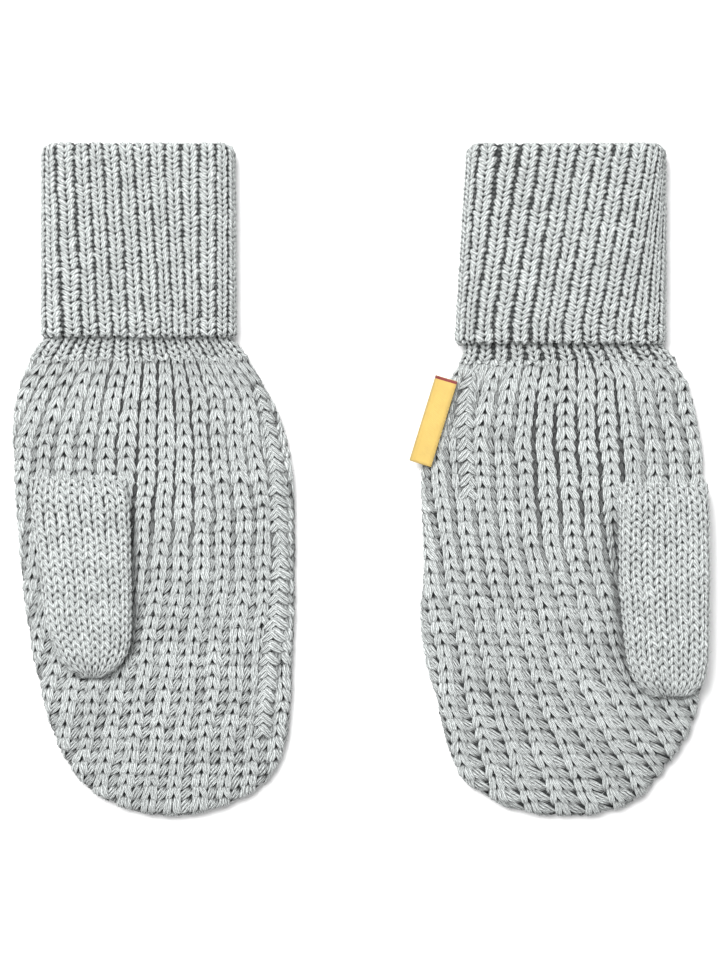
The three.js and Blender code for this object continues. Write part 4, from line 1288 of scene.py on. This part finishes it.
RIB_SPREAD = (0.18, 0.12, 0.6)
THUMB_SPREAD = (0.12, 0.1, 0.9)
for side, seed in ((LEFT, 10), (RIGHT, 60)):
    hand = Hand(side)
    templates = stitch_templates(side)
    helpers += [t for trio in templates.values() for t in trio]
    for number, face in enumerate(("palm", "back")):
        stitches = knitted(side, face, hand_carrier(hand, face, KNIT[face], 3.0), templates, seed + number)
        pieces[side, face] = (hand_shell(hand, face), stitches)
    cloth = hand_carrier(hand, "palm", KNIT["plait"], 0.6, plait=True)
    pieces[side, "palm"] += (knitted(side, "plait", cloth, templates, seed + 5),)
    cuff = knitted(side, "cuff", cuff_carrier(side, KNIT["cuff"]), templates, seed + 2, *RIB_SPREAD)
    neck = knitted(side, "neck", neck_carrier(side, hand, KNIT["neck"]), templates, seed + 3, *RIB_SPREAD)
    pieces[side, "cuff"] = (cuff_shell(side, KNIT["cuff"]), cuff, neck)
    thumb = knitted(side, "thumb", thumb_carrier(hand, KNIT["thumb"]), templates, seed + 4, *THUMB_SPREAD)
    pieces[side, "thumb"] = (thumb_shell(hand, KNIT["thumb"]), thumb)
label = label_cloth(hand)
for number, (side, part) in enumerate(pieces):
    if part != "back":
        for obj in pieces[side, part][1:]:
            fuzz(obj, number, YARN)
for obj in helpers + [FIBRE_TEMPLATE]:
    bpy.data.objects.remove(obj)

NODE = {"palm": "hand_palm", "back": "hand_back", "cuff": "cuff", "thumb": "thumb"}
for (side, part), (shell, *stitched) in pieces.items():
    node = f"{side}_{NODE[part]}"
    # Each cloth shell under its stitches wears the ground that is painted dark as shade.
    dress(shell, node, GROUND)
    for obj in stitched:
        dress(obj, node, None)
dress(label, "right_label", TAPE)


for side in (LEFT, RIGHT):
    palm, back, cuff, thumb = (pieces[side, part] for part in ("palm", "back", "cuff", "thumb"))


# ---------------------------------------------------------------- floor, light and camera
def make_floor(reach=1500, level=-0.05):
    corners = [(x, y, level) for x, y in ((-reach, -reach), (reach, -reach), (reach, reach), (-reach, reach))]
    floor = new_object("floor", corners, [(0, 1, 2, 3)])
    material, tree, shader, solid = new_material("pale studio paper")
    grain = ranged(tree, noise(tree, solid, 300, 2.0), 0.3, 0.7, 0.995, 1.005)
    finish(tree, shader, tinted(tree, (0.93, 0.93, 0.93), grain), Roughness=0.9)
    floor.data.materials.append(material)
    return floor


def soft_box(name, place, aim, size, power):
    light = bpy.data.lights.new(name, "AREA")
    light.shape = "RECTANGLE"
    light.size, light.size_y = size
    light.energy = power
    obj = bpy.data.objects.new(name, light)
    obj.location = place
    obj.rotation_euler = (Vector(aim) - Vector(place)).to_track_quat("-Z", "Y").to_euler()
    bpy.context.scene.collection.objects.link(obj)


floor = make_floor()
soft_box("overhead box", (-0.3, 0.42, 1.1), (0, 0, 0), (0.7, 0.7), 27)
soft_box("fill box", (0.8, -0.5, 0.9), (0, 0, 0), (0.9, 0.9), 6)

world = bpy.data.worlds.new("studio")
bpy.context.scene.world = world
world.use_nodes = True
world.node_tree.nodes["Background"].inputs[0].default_value = (1, 1, 1, 1)
world.node_tree.nodes["Background"].inputs[1].default_value = 0.2

camera_height = 0.9
half_view = 0.120
mittens_level = 0.006
lens = bpy.data.cameras.new("camera")
lens.sensor_fit = "VERTICAL"
lens.angle = 2 * math.atan(half_view / (camera_height - mittens_level))
camera = bpy.data.objects.new("camera", lens)
camera.location = (0, 0, camera_height)
bpy.context.scene.collection.objects.link(camera)
bpy.context.scene.camera = camera
bpy.context.scene.view_settings.view_transform = "Standard"
